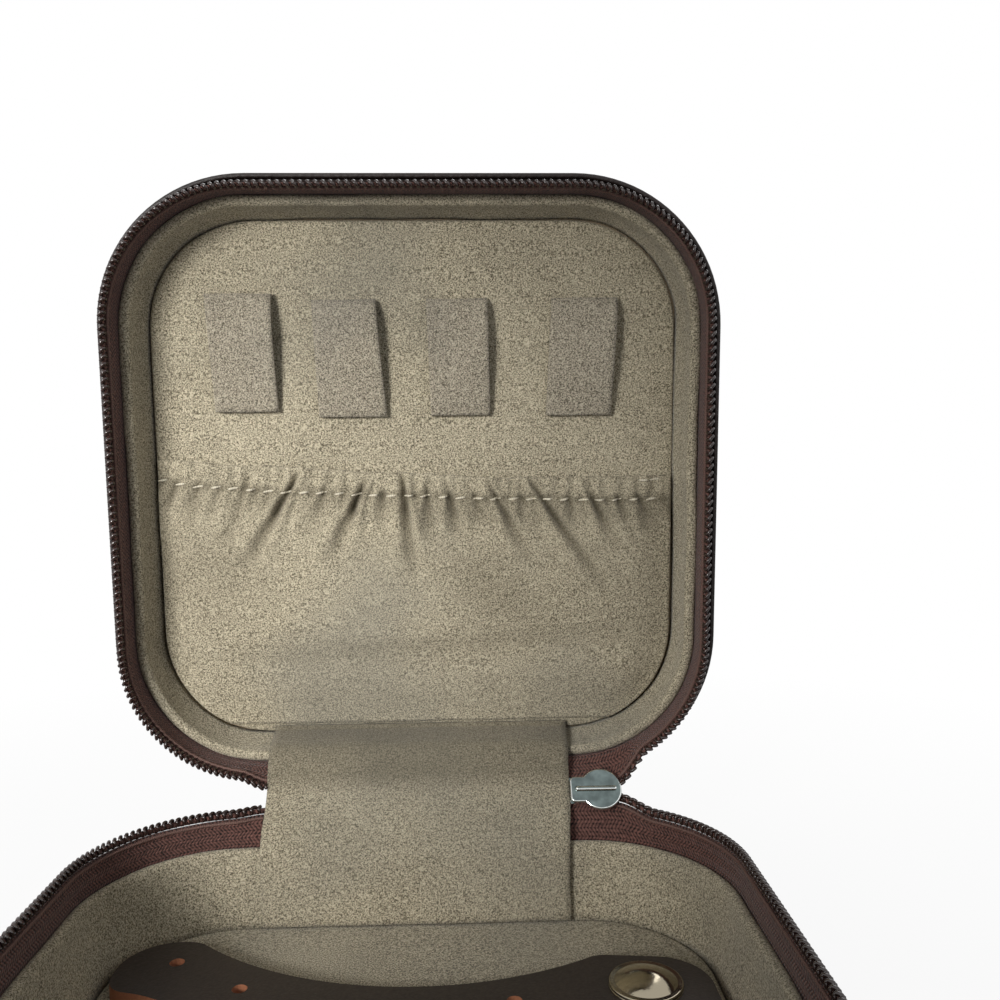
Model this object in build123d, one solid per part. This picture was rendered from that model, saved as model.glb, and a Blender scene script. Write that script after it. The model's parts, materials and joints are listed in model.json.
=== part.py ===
from build123d import *
import math
import os

# A zip-around travel jewelry box: two rounded half shells that open like a book about a
# fabric hinge, with a zipper standing from both rims. Millimetres, +Z up, the origin at the
# middle of the underside. Each half is drawn below the plane where the two rows of zipper
# teeth meet. The base hangs from that plane, and the lid is mirrored over it and then
# turned open about the hinge line to where it stands by itself.

# Case
CASE_W = 124.8
CASE_D = 124.4
CASE_CORNER = 30.0
CASE_EDGE = 5.0
BASE_DEPTH = 26.5
LID_DEPTH = 20.0
LID_OPEN = 86.0
HINGE_SETBACK = 0.8

# Layers of a shell, from the outside in
COVER_T = 1.0
STIFFENER_WALL = 2.3
STIFFENER_FLOOR = 1.8
BOARD_T = 0.8
PAD_T = 0.95
LINING_T = 2.2
LINING_ROLL = 0.95
LAYER_GAP = 0.05
BASE_LINING_SLOPE = 2.4
LID_LINING_SLOPE = 1.4
COVER_TURN_IN = 0.4
PAD_EDGE = 0.38

# Zipper
RIM_DROP = 7.45
TAPE_T = 0.6
TAPE_SEAM = 5.0
TAPE_LEAN = 2.5
TAPE_EDGE_DROP = 2.3
CORE_H = 1.25
CORE_W = 1.3
TOOTH_PITCH = 1.45
TOOTH_W = 0.5
TOOTH_REACH = 0.45
TOOTH_L = 1.7

# Slider and its pull
SLIDER_L = 10.6
SLIDER_NOSE_W = 8.6
SLIDER_TAIL_W = 5.4
SLIDER_H = 4.4
BLADE_T = 0.85
BLADE_EDGE = 0.38
BLADE_TAIL_L = 5.83
BLADE_TAIL_CORNER = 1.0
RIDGE_L = 8.6
RIDGE_D = 1.1
FLANGE_L = 5.3
FLANGE_T = 0.8
FLANGE_H = 0.7
POST_L = 3.4
POST_W = 2.2
POST_SETBACK = 0.6
CROWN_L = 6.6
CROWN_W = 1.9
CROWN_T = 0.8
CROWN_RISE = 2.4
CROWN_BEND = 1.2
SLIDER_SIDE_GAP = 0.8
SLIDER_ROOM = 0.6
PULL_L = 20.0
PULL_W = 6.4
PULL_NECK_W = 5.4
PULL_T = 1.2
PULL_EYE_L = 4.3
PULL_BAR_D = 1.5
PULL_EYE_GAP = 0.35
PULL_END_HOLE = 2.6

# Fabric hinge
STRIP_W = 60.6
STRIP_T = 0.8
STRIP_FOOT = 4.0
STRIP_LID_FOOT = 1.2
STRIP_BEND = 2.0
STRIP_FOOT_BEND = 0.9
SPINE_W = 56.0
SPINE_T = 0.9
SPINE_SEAM = 6.0
SPINE_BEND = 3.0
SPINE_SLACK = 1.4
TAPE_TUCK = 4.3
CORE_END_GAP = 0.3
SKIN_GAP = 0.2

# Necklace loops and the gathered pocket on the lid's panel
LOOP_X = (-34.3, -12.6, 9.6, 34.6)
LOOP_W = 13.2
LOOP_L = 24.2
LOOP_T = 0.8
LOOP_RISE = 2.0
LOOP_FROM_HINGE = 79.3
POCKET_TOP = 65.5
POCKET_SIDE_GAP = 0.6
POCKET_FOOT_GAP = 0.4
POCKET_T = 2.6
POCKET_EDGE = 1.6
HEM_DROP = 4.6
ELASTIC_W = 3.0
ELASTIC_T = 0.7

# Earring plate and its snap
PLATE_T = 2.6
PLATE_WALL_GAP = 2.2
PLATE_LOBE_R = 9.0
PLATE_BITE_R = 5.0
PLATE_BACK_LEFT = 18.6
PLATE_BACK_RIGHT = 29.6
PLATE_FRONT = 104.0
SCALLOP_R = 60.0
SCALLOP_X = 2.0
SCALLOP_BACK_REACH = 36.2
SCALLOP_FRONT_REACH = 14.0
NOTCH_R = 24.0
NOTCH_FROM_HINGE = 59.0
NOTCH_OUTSET = 1.5
HOLE_D = 2.6
HOLE_PITCH = 15.8
HOLE_MARGIN = 6.6
HOLE_ROW_PITCH = 13.0
HOLE_ROWS = 4
HOLE_EDGE = 4.2
SNAP_FROM_SIDE = 11.55
SNAP_FROM_HINGE = 37.4
SNAP_KEEP_OUT = 9.5
CAP_D = 12.6
CAP_RISE = 2.2
CAP_RIM = 0.7
CAP_POST_D = 3.0
SOCKET_D = 10.8
SOCKET_H = 1.2
SNAP_BORE_D = 4.3
SNAP_FLANGE_D = 9.6
SNAP_FIT = 0.05
PLATE_LIFT_GAP = 0.15

# Worked out from the sizes above
HINGE_Y = CASE_D / 2 + HINGE_SETBACK
RIM_INSET = COVER_T + STIFFENER_WALL + TAPE_T + 3 * LAYER_GAP
RIM_X = CASE_W / 2 - RIM_INSET
RIM_Y = CASE_D / 2 - RIM_INSET
RIM_CORNER = CASE_CORNER - RIM_INSET
STACK_T = COVER_T + STIFFENER_FLOOR + BOARD_T + PAD_T + LAYER_GAP
TOOTH_OUTSET = TAPE_T / 2 + LAYER_GAP + TAPE_LEAN
SLIDER_X = STRIP_W / 2 + SLIDER_SIDE_GAP + SLIDER_L / 2
SLIDER_REACH = math.hypot(SLIDER_H / 2, SLIDER_NOSE_W / 2)


def ring_sketch(inset):
    """A rounded rectangle, this far inside the case's outline."""
    return RectangleRounded(CASE_W - 2 * inset, CASE_D - 2 * inset, CASE_CORNER - inset)


def block(inset, low, high):
    """A solid of the outline between two heights."""
    return Pos(0, 0, low) * extrude(ring_sketch(inset), high - low)


def rounded_block(inset, low, high, edge):
    """A block whose lower edge is rounded."""
    body = block(inset, low, high)
    return fillet(body.edges().group_by(Axis.Z)[0], edge)


def tapered_block(low_inset, high_inset, low, high):
    """A solid whose outline changes evenly from the low height to the high one."""
    low_face = Pos(0, 0, low) * ring_sketch(low_inset)
    high_face = Pos(0, 0, high) * ring_sketch(high_inset)
    return loft([low_face, high_face])


def shell_cover(depth):
    """The leather skin: a tray with its top edge softly turned in."""
    outer = rounded_block(0, -depth, -RIM_DROP, CASE_EDGE)
    inner = rounded_block(COVER_T, COVER_T - depth, 0, CASE_EDGE - COVER_T)
    skin = outer - inner
    return fillet(skin.edges().group_by(Axis.Z)[-1], COVER_TURN_IN)


def shell_stiffener(depth):
    """The board tray that gives the skin its shape."""
    floor = COVER_T + LAYER_GAP - depth
    edge = CASE_EDGE - COVER_T
    outer = rounded_block(COVER_T + LAYER_GAP, floor, -RIM_DROP - COVER_T, edge)
    inner = block(COVER_T + LAYER_GAP + STIFFENER_WALL, floor + STIFFENER_FLOOR, 0)
    return outer - inner


def floor_board(depth):
    """The flat board under the pad, which the lining stands on."""
    low = COVER_T + STIFFENER_FLOOR + 2 * LAYER_GAP - depth
    inset = COVER_T + STIFFENER_WALL + 2 * LAYER_GAP
    return block(inset, low, low + BOARD_T)


def wall_lining(depth, slope):
    """The padded suede wall: upright outside, sloping in to the floor, with a rolled rim."""
    low = STACK_T - PAD_T - depth + LAYER_GAP
    body = block(RIM_INSET, low, -RIM_DROP)
    inner_low = RIM_INSET + LINING_T + slope
    inner_high = RIM_INSET + LINING_T
    hollow = tapered_block(inner_low, inner_high, low, -RIM_DROP)
    ring = body - hollow
    return fillet(ring.edges().group_by(Axis.Z)[-1], LINING_ROLL)


def floor_pad(depth, slope):
    """The padded suede floor inside the wall lining."""
    low = STACK_T - PAD_T - depth + LAYER_GAP
    inset = RIM_INSET + LINING_T + slope + 2 * LAYER_GAP
    pad = block(inset, low, STACK_T - depth + LAYER_GAP)
    return fillet(pad.edges().group_by(Axis.Z)[-1], PAD_EDGE)


def zipper_gap(half):
    """The space kept free of zipper at the hinge strip, this wide, and round the slider."""
    side = 2 * (CASE_CORNER + HINGE_SETBACK)
    strip = Pos(0, HINGE_Y, 0) * Box(2 * half, side, 4 * BASE_DEPTH)
    length = SLIDER_L + 2 * SLIDER_SIDE_GAP
    room = Cylinder(SLIDER_REACH + SLIDER_ROOM, length + 2 * SLIDER_SIDE_GAP)
    return strip + Pos(SLIDER_X, HINGE_Y, 0) * Rot(0, 90, 0) * room


def zipper_tape():
    """The woven tape: a seam sewn between stiffener and lining, then a band leaning out."""
    outer_inset = COVER_T + STIFFENER_WALL + 2 * LAYER_GAP
    seam = block(outer_inset, -RIM_DROP - TAPE_SEAM, -RIM_DROP)
    seam -= block(outer_inset + TAPE_T, -RIM_DROP - TAPE_SEAM, -RIM_DROP)
    high = -TAPE_EDGE_DROP
    band = tapered_block(outer_inset, outer_inset - TAPE_LEAN, -RIM_DROP, high)
    inside = outer_inset + TAPE_T
    band -= tapered_block(inside, inside - TAPE_LEAN, -RIM_DROP, high)
    return seam + band - zipper_gap(STRIP_W / 2 - TAPE_TUCK)


def coil_core():
    """The cord inside the coil, on the free edge of the tape."""
    inset = RIM_INSET - TOOTH_OUTSET
    low = -TAPE_EDGE_DROP
    core = block(inset - CORE_W / 2, low, low + CORE_H)
    core -= block(inset + CORE_W / 2, low, low + CORE_H)
    return core - zipper_gap(STRIP_W / 2 + CORE_END_GAP)


def stations(inset, first, last, pitch):
    """Evenly spaced places along the outline, from the middle of the hinge side to +X."""
    corner = CASE_CORNER - inset
    flat_x = CASE_W / 2 - CASE_CORNER
    flat_y = CASE_D / 2 - CASE_CORNER
    arc = corner * math.pi / 2
    runs = [flat_x, arc, 2 * flat_y, arc, 2 * flat_x, arc, 2 * flat_y, arc, flat_x]
    total = sum(runs)
    count = int((total - first - last) / pitch)
    places = []
    for step in range(count + 1):
        places.append(station_at(first + step * pitch, runs, corner, flat_x, flat_y))
    return places


def station_at(distance, runs, corner, flat_x, flat_y):
    """The x, y and heading of a place this far along the outline."""
    x, y, heading = 0.0, flat_y + corner, 0.0
    for index, run in enumerate(runs):
        step = min(distance, run)
        angle = math.radians(heading)
        if index % 2 == 0:
            x += step * math.cos(angle)
            y += step * math.sin(angle)
        else:
            turn = step / corner
            x += corner * (math.sin(angle) - math.sin(angle - turn))
            y += corner * (math.cos(angle - turn) - math.cos(angle))
            heading -= math.degrees(turn)
        distance -= step
        if distance <= 0:
            break
    return x, y, heading


def coil_teeth(offset):
    """One row of teeth, upright on the core and reaching past the meeting plane."""
    inset = RIM_INSET - TOOTH_OUTSET
    low = CORE_H - TAPE_EDGE_DROP
    height = TOOTH_REACH - low
    tooth = Box(TOOTH_W, TOOTH_L, height)
    first = SLIDER_X + SLIDER_L / 2 + 3 * SLIDER_SIDE_GAP + offset
    last = STRIP_W / 2 + CORE_END_GAP + TOOTH_W
    teeth = []
    for x, y, heading in stations(inset, first, last, TOOTH_PITCH):
        teeth.append(Pos(x, y, low + height / 2) * Rot(0, 0, heading) * tooth)
    return Compound(children=teeth)


def blade():
    """A slider blade: a wide rounded nose at +X and a narrow straight tail."""
    nose_r = SLIDER_NOSE_W / 2
    nose = Pos(SLIDER_L / 2 - nose_r, 0) * Circle(nose_r)
    tail_x = (BLADE_TAIL_L - SLIDER_L) / 2
    tail = Pos(tail_x, 0) * Rectangle(BLADE_TAIL_L, SLIDER_TAIL_W)
    outline = nose + tail
    outline = fillet(outline.vertices().group_by(Axis.X)[0], BLADE_TAIL_CORNER)
    return extrude(outline, BLADE_T)


def blade_ridge():
    """The half-round rib along the middle of the inner blade, with round ends."""
    half = (RIDGE_L - RIDGE_D) / 2
    rib = Rot(0, 90, 0) * Cylinder(RIDGE_D / 2, 2 * half)
    for side in (-1, 1):
        rib += Pos(side * half, 0, 0) * Sphere(RIDGE_D / 2)
    return Pos(0, 0, -SLIDER_H / 2) * rib


def slider():
    """The die-cast slider, at its place on the zipper's meeting line, blades upright."""
    gap = SLIDER_H - 2 * BLADE_T
    inner = Pos(0, 0, -SLIDER_H / 2) * blade()
    inner = fillet(inner.edges().group_by(Axis.Z)[0], BLADE_EDGE)
    outer = Pos(0, 0, SLIDER_H / 2 - BLADE_T) * blade()
    body = inner + outer + post(gap) + blade_ridge()
    for side in (-1, 1):
        body += flange(side, -gap / 2, FLANGE_H)
        body += flange(side, gap / 2 - FLANGE_H, FLANGE_H)
    return body + crown()


def post(gap):
    """The wedge between the blades that parts the two rows of teeth."""
    start = SLIDER_L / 2 - POST_L - POST_SETBACK
    points = [(start, 0), (start + POST_L, -POST_W / 2), (start + POST_L, POST_W / 2)]
    wedge = make_face(Polyline(*points, close=True))
    return Pos(0, 0, -gap / 2) * extrude(wedge, gap)


def flange(side, low, height):
    """A lip along the tail that holds a row of teeth in."""
    x = (FLANGE_L - SLIDER_L) / 2
    y = side * (SLIDER_TAIL_W - FLANGE_T) / 2
    return Pos(x, y, low + height / 2) * Box(FLANGE_L, FLANGE_T, height)


def crown():
    """The bridge on the outer blade that carries the pull."""
    low = SLIDER_H / 2
    high = low + CROWN_RISE + CROWN_T
    bridge = Pos(0, 0, (low + high) / 2) * Box(CROWN_L, CROWN_W, high - low)
    bridge = fillet(bridge.edges().filter_by(Axis.Y).group_by(Axis.Z)[-1], CROWN_BEND)
    span = CROWN_L - 2 * CROWN_T
    window = Pos(0, 0, low + CROWN_RISE / 2) * Box(span, 2 * CROWN_W, CROWN_RISE)
    return bridge - window


def pull():
    """The pull: a cross bar under the crown, two arms round it and a plate beyond."""
    arm_in = CROWN_W / 2 + PULL_EYE_GAP
    arm_w = PULL_NECK_W / 2 - arm_in
    bar = Rot(90, 0, 0) * Cylinder(PULL_BAR_D / 2, PULL_NECK_W)
    arms = Pos(0, arm_in + arm_w / 2, PULL_EYE_L / 2) * Box(PULL_T, arm_w, PULL_EYE_L)
    arms += Pos(0, -arm_in - arm_w / 2, PULL_EYE_L / 2) * Box(PULL_T, arm_w, PULL_EYE_L)
    plate_l = PULL_L - PULL_EYE_L
    half_neck = PULL_NECK_W / 2
    half_end = PULL_W / 2
    outline = Polyline((-half_neck, 0), (half_neck, 0), (half_end, plate_l),
                       (-half_end, plate_l), close=True)
    face = make_face(outline)
    face = fillet(face.vertices().group_by(Axis.Y)[-1], half_end * 0.9)
    face -= Pos(0, plate_l - half_end) * Circle(PULL_END_HOLE / 2)
    plate = extrude(face, PULL_T / 2, both=True)
    plate = Pos(0, 0, PULL_EYE_L) * Rot(0, 0, 90) * Rot(90, 0, 0) * plate
    return bar + arms + plate


def fold_profile(points, radii, thickness, width):
    """A band of even thickness through points in the Y and Z plane, as wide as given."""
    line = FilletPolyline(*points, radius=radii)
    face = trace(line, thickness)
    solid = extrude(face, width / 2, both=True)
    return Rot(0, 0, 90) * Rot(90, 0, 0) * solid


def turned_open(y, z):
    """Where a point of the closed lid stands when the lid is open, from the hinge line."""
    angle = math.radians(LID_OPEN)
    return (y * math.cos(angle) + z * math.sin(angle), z * math.cos(angle) - y * math.sin(angle))


def hinge_strip():
    """The wide suede strip inside the hinge, from the tray's floor over to the lid's panel."""
    off = STRIP_T / 2 + SKIN_GAP
    wall = -(HINGE_Y - RIM_Y) - LINING_T - off
    base_floor = STACK_T + LAYER_GAP - BASE_DEPTH + off
    lid_floor = LID_DEPTH - STACK_T - LAYER_GAP - off
    base_foot = wall - BASE_LINING_SLOPE
    lid_foot = wall - LID_LINING_SLOPE
    points = [(base_foot - STRIP_FOOT, base_floor), (base_foot, base_floor), (wall, -RIM_DROP)]
    for y, z in [(wall, RIM_DROP), (lid_foot, lid_floor), (lid_foot - STRIP_LID_FOOT, lid_floor)]:
        points.append(turned_open(y, z))
    bends = [STRIP_BEND, STRIP_BEND, STRIP_BEND, STRIP_FOOT_BEND]
    return fold_profile(points, bends, STRIP_T, STRIP_W)


def spine_cover():
    """The leather strip outside the hinge, sewn to the back of both shells."""
    off = SPINE_T / 2 + SKIN_GAP
    wall = -HINGE_SETBACK + off
    points = [(wall, -RIM_DROP - SPINE_SEAM), (wall, -RIM_DROP + SPINE_SLACK)]
    points.append(turned_open(wall, RIM_DROP - SPINE_SLACK))
    points.append(turned_open(wall, RIM_DROP + SPINE_SEAM))
    return fold_profile(points, [SPINE_BEND, SPINE_BEND], SPINE_T, SPINE_W)


def panel_level():
    """The height of the lid panel's face below the meeting plane, before the lid is turned."""
    return STACK_T + LAYER_GAP - LID_DEPTH


def necklace_loop(x):
    """A suede loop, arched off the panel between its two sewn ends."""
    half = LOOP_L / 2
    outer = ThreePointArc((-half, 0), (0, LOOP_RISE + LOOP_T), (half, 0))
    inner = ThreePointArc((half - LOOP_T, 0), (0, LOOP_RISE), (-half + LOOP_T, 0))
    ends = [Line((half, 0), (half - LOOP_T, 0)), Line((-half + LOOP_T, 0), (-half, 0))]
    face = make_face([outer, inner] + ends)
    arch = Rot(0, 0, 90) * Rot(90, 0, 0) * extrude(face, LOOP_W / 2, both=True)
    y = HINGE_Y - LOOP_FROM_HINGE - half
    return Pos(x, y, panel_level() + SKIN_GAP) * arch


def pocket():
    """The gathered pocket's body on the panel, with a channel for its elastic in the hem."""
    low = panel_level() + SKIN_GAP
    inset = RIM_INSET + LINING_T + LID_LINING_SLOPE + POCKET_SIDE_GAP
    body = block(inset, low, low + POCKET_T)
    keep_low = HINGE_Y - POCKET_TOP
    body -= Pos(0, keep_low - CASE_D / 2, low) * Box(2 * CASE_W, CASE_D, 4 * POCKET_T)
    foot = STRIP_LID_FOOT + STRIP_T + SKIN_GAP + POCKET_FOOT_GAP
    keep_high = RIM_Y - LINING_T - LID_LINING_SLOPE - foot
    body -= Pos(0, keep_high + CASE_D / 2, low) * Box(2 * CASE_W, CASE_D, 4 * POCKET_T)
    body = fillet(body.edges().group_by(Axis.Z)[-1], POCKET_EDGE)
    channel = Box(2 * CASE_W, ELASTIC_W + 2 * SKIN_GAP, ELASTIC_T + 2 * SKIN_GAP)
    return body - elastic_place() * channel


def elastic_place():
    """The middle of the elastic in the pocket's hem."""
    return Pos(0, HINGE_Y - POCKET_TOP + HEM_DROP, panel_level() + SKIN_GAP + POCKET_T / 2)


def pocket_elastic():
    """The flat elastic that gathers the pocket's top."""
    inset = RIM_INSET + LINING_T + LID_LINING_SLOPE + POCKET_SIDE_GAP + POCKET_EDGE
    return elastic_place() * Box(CASE_W - 2 * inset, ELASTIC_W, ELASTIC_T)


def plate_bites():
    """The circles that hollow the plate: its back edge, its front edge and the notch."""
    half = plate_half_width()
    front_y = HINGE_Y - PLATE_FRONT + SCALLOP_FRONT_REACH - SCALLOP_R
    notch = Vector(-half - NOTCH_OUTSET, HINGE_Y - NOTCH_FROM_HINGE)
    return [(scallop_centre(), SCALLOP_R), (Vector(0, front_y), SCALLOP_R), (notch, NOTCH_R)]


def plate_half_width():
    """Half the plate's width, clear of the tray's sloping walls."""
    return RIM_X - LINING_T - BASE_LINING_SLOPE - PLATE_WALL_GAP


def scallop_centre():
    """The middle of the circle that hollows the plate's back edge."""
    return Vector(SCALLOP_X, HINGE_Y - SCALLOP_BACK_REACH + SCALLOP_R)


def plate_outline():
    """The plate's outline: four lobes, two hollowed sides and a finger notch at -X."""
    half = plate_half_width()
    corners = [(-half, HINGE_Y - PLATE_BACK_LEFT), (half, HINGE_Y - PLATE_BACK_RIGHT),
               (half, HINGE_Y - PLATE_FRONT), (-half, HINGE_Y - PLATE_FRONT)]
    face = make_face(Polyline(*corners, close=True))
    face = fillet(face.vertices(), PLATE_LOBE_R)
    for centre, radius in plate_bites():
        face -= Pos(centre.X, centre.Y) * Rot(0, 0, 180) * Circle(radius)
    lips = []
    for corner in face.vertices():
        spans = [abs((Vector(corner) - centre).length - radius) for centre, radius in plate_bites()]
        if min(spans) < 0.001:
            lips.append(corner)
    return fillet(lips, PLATE_BITE_R)


def plate_holes(outline):
    """Rows of earring holes, in arcs that follow the hollowed back edge."""
    centre = scallop_centre()
    snap = Vector(snap_x(), HINGE_Y - SNAP_FROM_HINGE)
    inner = offset(outline, -HOLE_EDGE)
    holes = []
    for row in range(HOLE_ROWS):
        radius = SCALLOP_R + HOLE_MARGIN + row * HOLE_ROW_PITCH
        turn = math.degrees(HOLE_PITCH / radius)
        for step in range(-4, 5):
            angle = math.radians(-90 + (step + 0.5 * (row % 2)) * turn)
            place = Vector(centre.X + radius * math.cos(angle), centre.Y + radius * math.sin(angle))
            clear = (place - snap).length > SNAP_KEEP_OUT
            if clear and any(face.is_inside(place) for face in inner.faces()):
                holes.append(Pos(place.X, place.Y) * Circle(HOLE_D / 2))
    return holes


def plate_bottom():
    """The height of the plate's underside, just off the tray's padded floor."""
    return STACK_T + LAYER_GAP + PLATE_LIFT_GAP


def snap_x():
    """How far right the snap sits, measured in from the plate's right side."""
    return plate_half_width() - SNAP_FROM_SIDE


def snap_place(height):
    """A place on the snap's axis."""
    return Pos(snap_x(), HINGE_Y - SNAP_FROM_HINGE, height)


def earring_plate():
    """The punched leather plate, with a seat below for the snap's socket."""
    outline = plate_outline()
    for hole in plate_holes(outline):
        outline -= hole
    plate = Pos(0, 0, plate_bottom()) * extrude(outline, PLATE_T)
    seat_h = SOCKET_H + LAYER_GAP
    plate -= snap_place(plate_bottom() + seat_h / 2) * Cylinder(SOCKET_D / 2 + LAYER_GAP, seat_h)
    post_h = 2 * PLATE_T
    plate -= snap_place(plate_bottom() + post_h / 2) * Cylinder(CAP_POST_D / 2 + LAYER_GAP, post_h)
    return plate


def snap_cap():
    """The domed cap with its rolled rim and the post that goes through the plate."""
    low = plate_bottom() + PLATE_T + LAYER_GAP
    radius = CAP_D / 2
    dome_r = (radius ** 2 + CAP_RISE ** 2) / (2 * CAP_RISE)
    dome = Pos(0, 0, CAP_RISE - dome_r) * Sphere(dome_r)
    dome &= Pos(0, 0, CAP_RISE) * Box(CAP_D, CAP_D, 2 * CAP_RISE)
    rim = Pos(0, 0, CAP_RIM / 2) * Cylinder(radius, CAP_RIM)
    rim = fillet(rim.edges(), CAP_RIM * 0.4)
    post_l = PLATE_T - SOCKET_H
    stem = Pos(0, 0, -post_l / 2) * Cylinder(CAP_POST_D / 2, post_l)
    return snap_place(low) * (dome + rim + stem)


def snap_socket():
    """The ring under the plate that the stud clicks into."""
    body = Cylinder(SOCKET_D / 2, SOCKET_H) - Cylinder(SNAP_BORE_D / 2, SOCKET_H)
    body = chamfer(body.edges().group_by(Axis.Z)[0], 0.2)
    return snap_place(plate_bottom() + SOCKET_H / 2) * body


def stud_flange():
    """The space of the stud's flange in the floor pad."""
    return snap_place(STACK_T + LAYER_GAP - PAD_T / 2) * Cylinder(SNAP_FLANGE_D / 2, PAD_T)


def snap_stud():
    """The stud fixed in the tray's floor."""
    height = PLATE_LIFT_GAP + SOCKET_H - LAYER_GAP
    stem = Cylinder(SNAP_BORE_D / 2 - SNAP_FIT, height)
    stem = chamfer(stem.edges().group_by(Axis.Z)[-1], 0.3)
    return stud_flange() + snap_place(STACK_T + LAYER_GAP + height / 2) * stem


def half_shell(depth, slope, tooth_offset):
    """The rigid pieces that the base and the lid have alike, below the meeting plane."""
    return {
        "leather_cover": shell_cover(depth),
        "stiffener": shell_stiffener(depth),
        "floor_board": floor_board(depth),
        "wall_lining": wall_lining(depth, slope),
        "floor_pad": floor_pad(depth, slope),
        "zipper_tape": zipper_tape(),
        "coil_cord": coil_core(),
        "zipper_teeth": coil_teeth(tooth_offset),
    }


def base_pieces():
    """The tray's pieces, standing on the underside."""
    half = half_shell(BASE_DEPTH, BASE_LINING_SLOPE, 0.0)
    pieces = {"base_" + name: Pos(0, 0, BASE_DEPTH) * piece for name, piece in half.items()}
    hole = Cylinder(SNAP_FLANGE_D / 2 + LAYER_GAP, 4 * PAD_T)
    pieces["base_floor_pad"] -= snap_place(STACK_T) * hole
    pieces["snap_stud"] = snap_stud()
    return pieces


def lid_pieces():
    """The lid's pieces, mirrored over the meeting plane and turned open."""
    half = half_shell(LID_DEPTH, LID_LINING_SLOPE, TOOTH_PITCH / 2)
    names = {"floor_board": "lid_panel_board", "floor_pad": "lid_panel"}
    closed = {names.get(name, "lid_" + name): piece for name, piece in half.items()}
    for number, x in enumerate(LOOP_X, start=1):
        closed["necklace_loop_" + str(number)] = necklace_loop(x)
    closed["lid_pocket"] = pocket()
    closed["pocket_elastic"] = pocket_elastic()
    placed = {}
    for name, piece in closed.items():
        placed[name] = opened(Pos(0, 0, BASE_DEPTH) * mirror(piece, about=Plane.XY), LID_OPEN)
    return placed


def opened(piece, angle):
    """A piece turned open about the hinge line by an angle in degrees."""
    line = Pos(0, HINGE_Y, BASE_DEPTH)
    return line * Rot(-angle, 0, 0) * line.inverse() * piece


def slider_pieces():
    """The slider and its pull, halfway between the two halves."""
    place = Pos(SLIDER_X, HINGE_Y, BASE_DEPTH) * Rot(-90, 0, 0)
    bar = Pos(0, 0, SLIDER_H / 2 + CROWN_RISE - PULL_BAR_D / 2 - LAYER_GAP)
    half_open = LID_OPEN / 2
    return {
        "zipper_slider": opened(place * slider(), half_open),
        "slider_pull": opened(place * bar * pull(), half_open),
    }


def hinge_pieces():
    """The two soft strips that make the hinge."""
    line = Pos(0, HINGE_Y, BASE_DEPTH)
    return {"hinge_strip": line * hinge_strip(), "spine_cover": line * spine_cover()}


def plate_pieces():
    """The earring plate with its half of the snap."""
    return {
        "earring_plate": earring_plate(),
        "snap_cap": snap_cap(),
        "snap_socket": snap_socket(),
    }


os.makedirs("parts", exist_ok=True)
for group in (base_pieces(), lid_pieces(), hinge_pieces(), slider_pieces(), plate_pieces()):
    for node, piece in group.items():
        export_step(piece, "parts/" + node + ".step")
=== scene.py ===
"""Looks of a zip-around travel jewelry box, built round its packed construction model.

Lengths are in metres in the model's own frame: the origin is the middle of the underside,
+Z is up and the hinge line runs along X at the back. A place on a half shell is given as
x, v and w: v is the distance from the hinge line towards the half's far side, and w is the
distance from the meeting plane of the teeth into the half.
"""
import json
import logging
import math
from dataclasses import dataclass
from enum import Enum
from typing import Callable, Sequence

import bmesh
import bpy
from mathutils import Matrix, Vector, noise

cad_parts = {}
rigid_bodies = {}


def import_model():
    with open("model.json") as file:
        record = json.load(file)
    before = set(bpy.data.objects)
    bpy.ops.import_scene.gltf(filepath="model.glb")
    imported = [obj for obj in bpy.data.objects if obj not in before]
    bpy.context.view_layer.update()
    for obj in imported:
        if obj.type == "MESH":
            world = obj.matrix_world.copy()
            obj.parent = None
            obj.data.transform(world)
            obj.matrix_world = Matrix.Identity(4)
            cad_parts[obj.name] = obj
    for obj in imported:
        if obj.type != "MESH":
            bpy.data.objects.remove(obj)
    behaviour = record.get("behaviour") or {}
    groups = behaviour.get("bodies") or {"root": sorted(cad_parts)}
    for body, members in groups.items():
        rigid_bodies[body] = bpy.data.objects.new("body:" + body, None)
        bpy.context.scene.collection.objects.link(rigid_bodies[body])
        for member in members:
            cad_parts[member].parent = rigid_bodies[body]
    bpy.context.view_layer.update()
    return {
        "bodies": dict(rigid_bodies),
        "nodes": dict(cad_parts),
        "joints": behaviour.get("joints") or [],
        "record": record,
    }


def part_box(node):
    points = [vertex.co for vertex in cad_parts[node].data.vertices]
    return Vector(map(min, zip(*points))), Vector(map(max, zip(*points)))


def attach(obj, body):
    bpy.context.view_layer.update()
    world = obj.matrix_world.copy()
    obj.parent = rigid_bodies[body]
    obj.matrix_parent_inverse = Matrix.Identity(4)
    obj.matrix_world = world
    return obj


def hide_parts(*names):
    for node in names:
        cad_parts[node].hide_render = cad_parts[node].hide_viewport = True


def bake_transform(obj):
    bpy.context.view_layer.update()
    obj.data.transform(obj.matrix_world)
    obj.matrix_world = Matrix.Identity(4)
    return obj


LOG = logging.getLogger("jewelry_box")
MM = 0.001
LAYER_GAP = 0.05 * MM

TUBE_SIDE = Vector((0.3, 0.5, 0.81))
CURVE_PARTS = 8

Colour = tuple[float, float, float]
Point2 = tuple[float, float]
Point3 = tuple[float, float, float]


def srgb(red: int, green: int, blue: int) -> Colour:
    """The linear colour of an 8-bit screen colour.

    Args:
        red: Red from 0 to 255.
        green: Green from 0 to 255.
        blue: Blue from 0 to 255.

    Returns:
        The three linear values.
    """
    def linear(level: int) -> float:
        """One channel's linear value."""
        share = level / 255
        return share / 12.92 if share <= 0.04045 else ((share + 0.055) / 1.055) ** 2.4
    return linear(red), linear(green), linear(blue)


def shade(colour: Colour, share: float) -> Colour:
    """A colour with this share of its light."""
    red, green, blue = colour
    return red * share, green * share, blue * share


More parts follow.
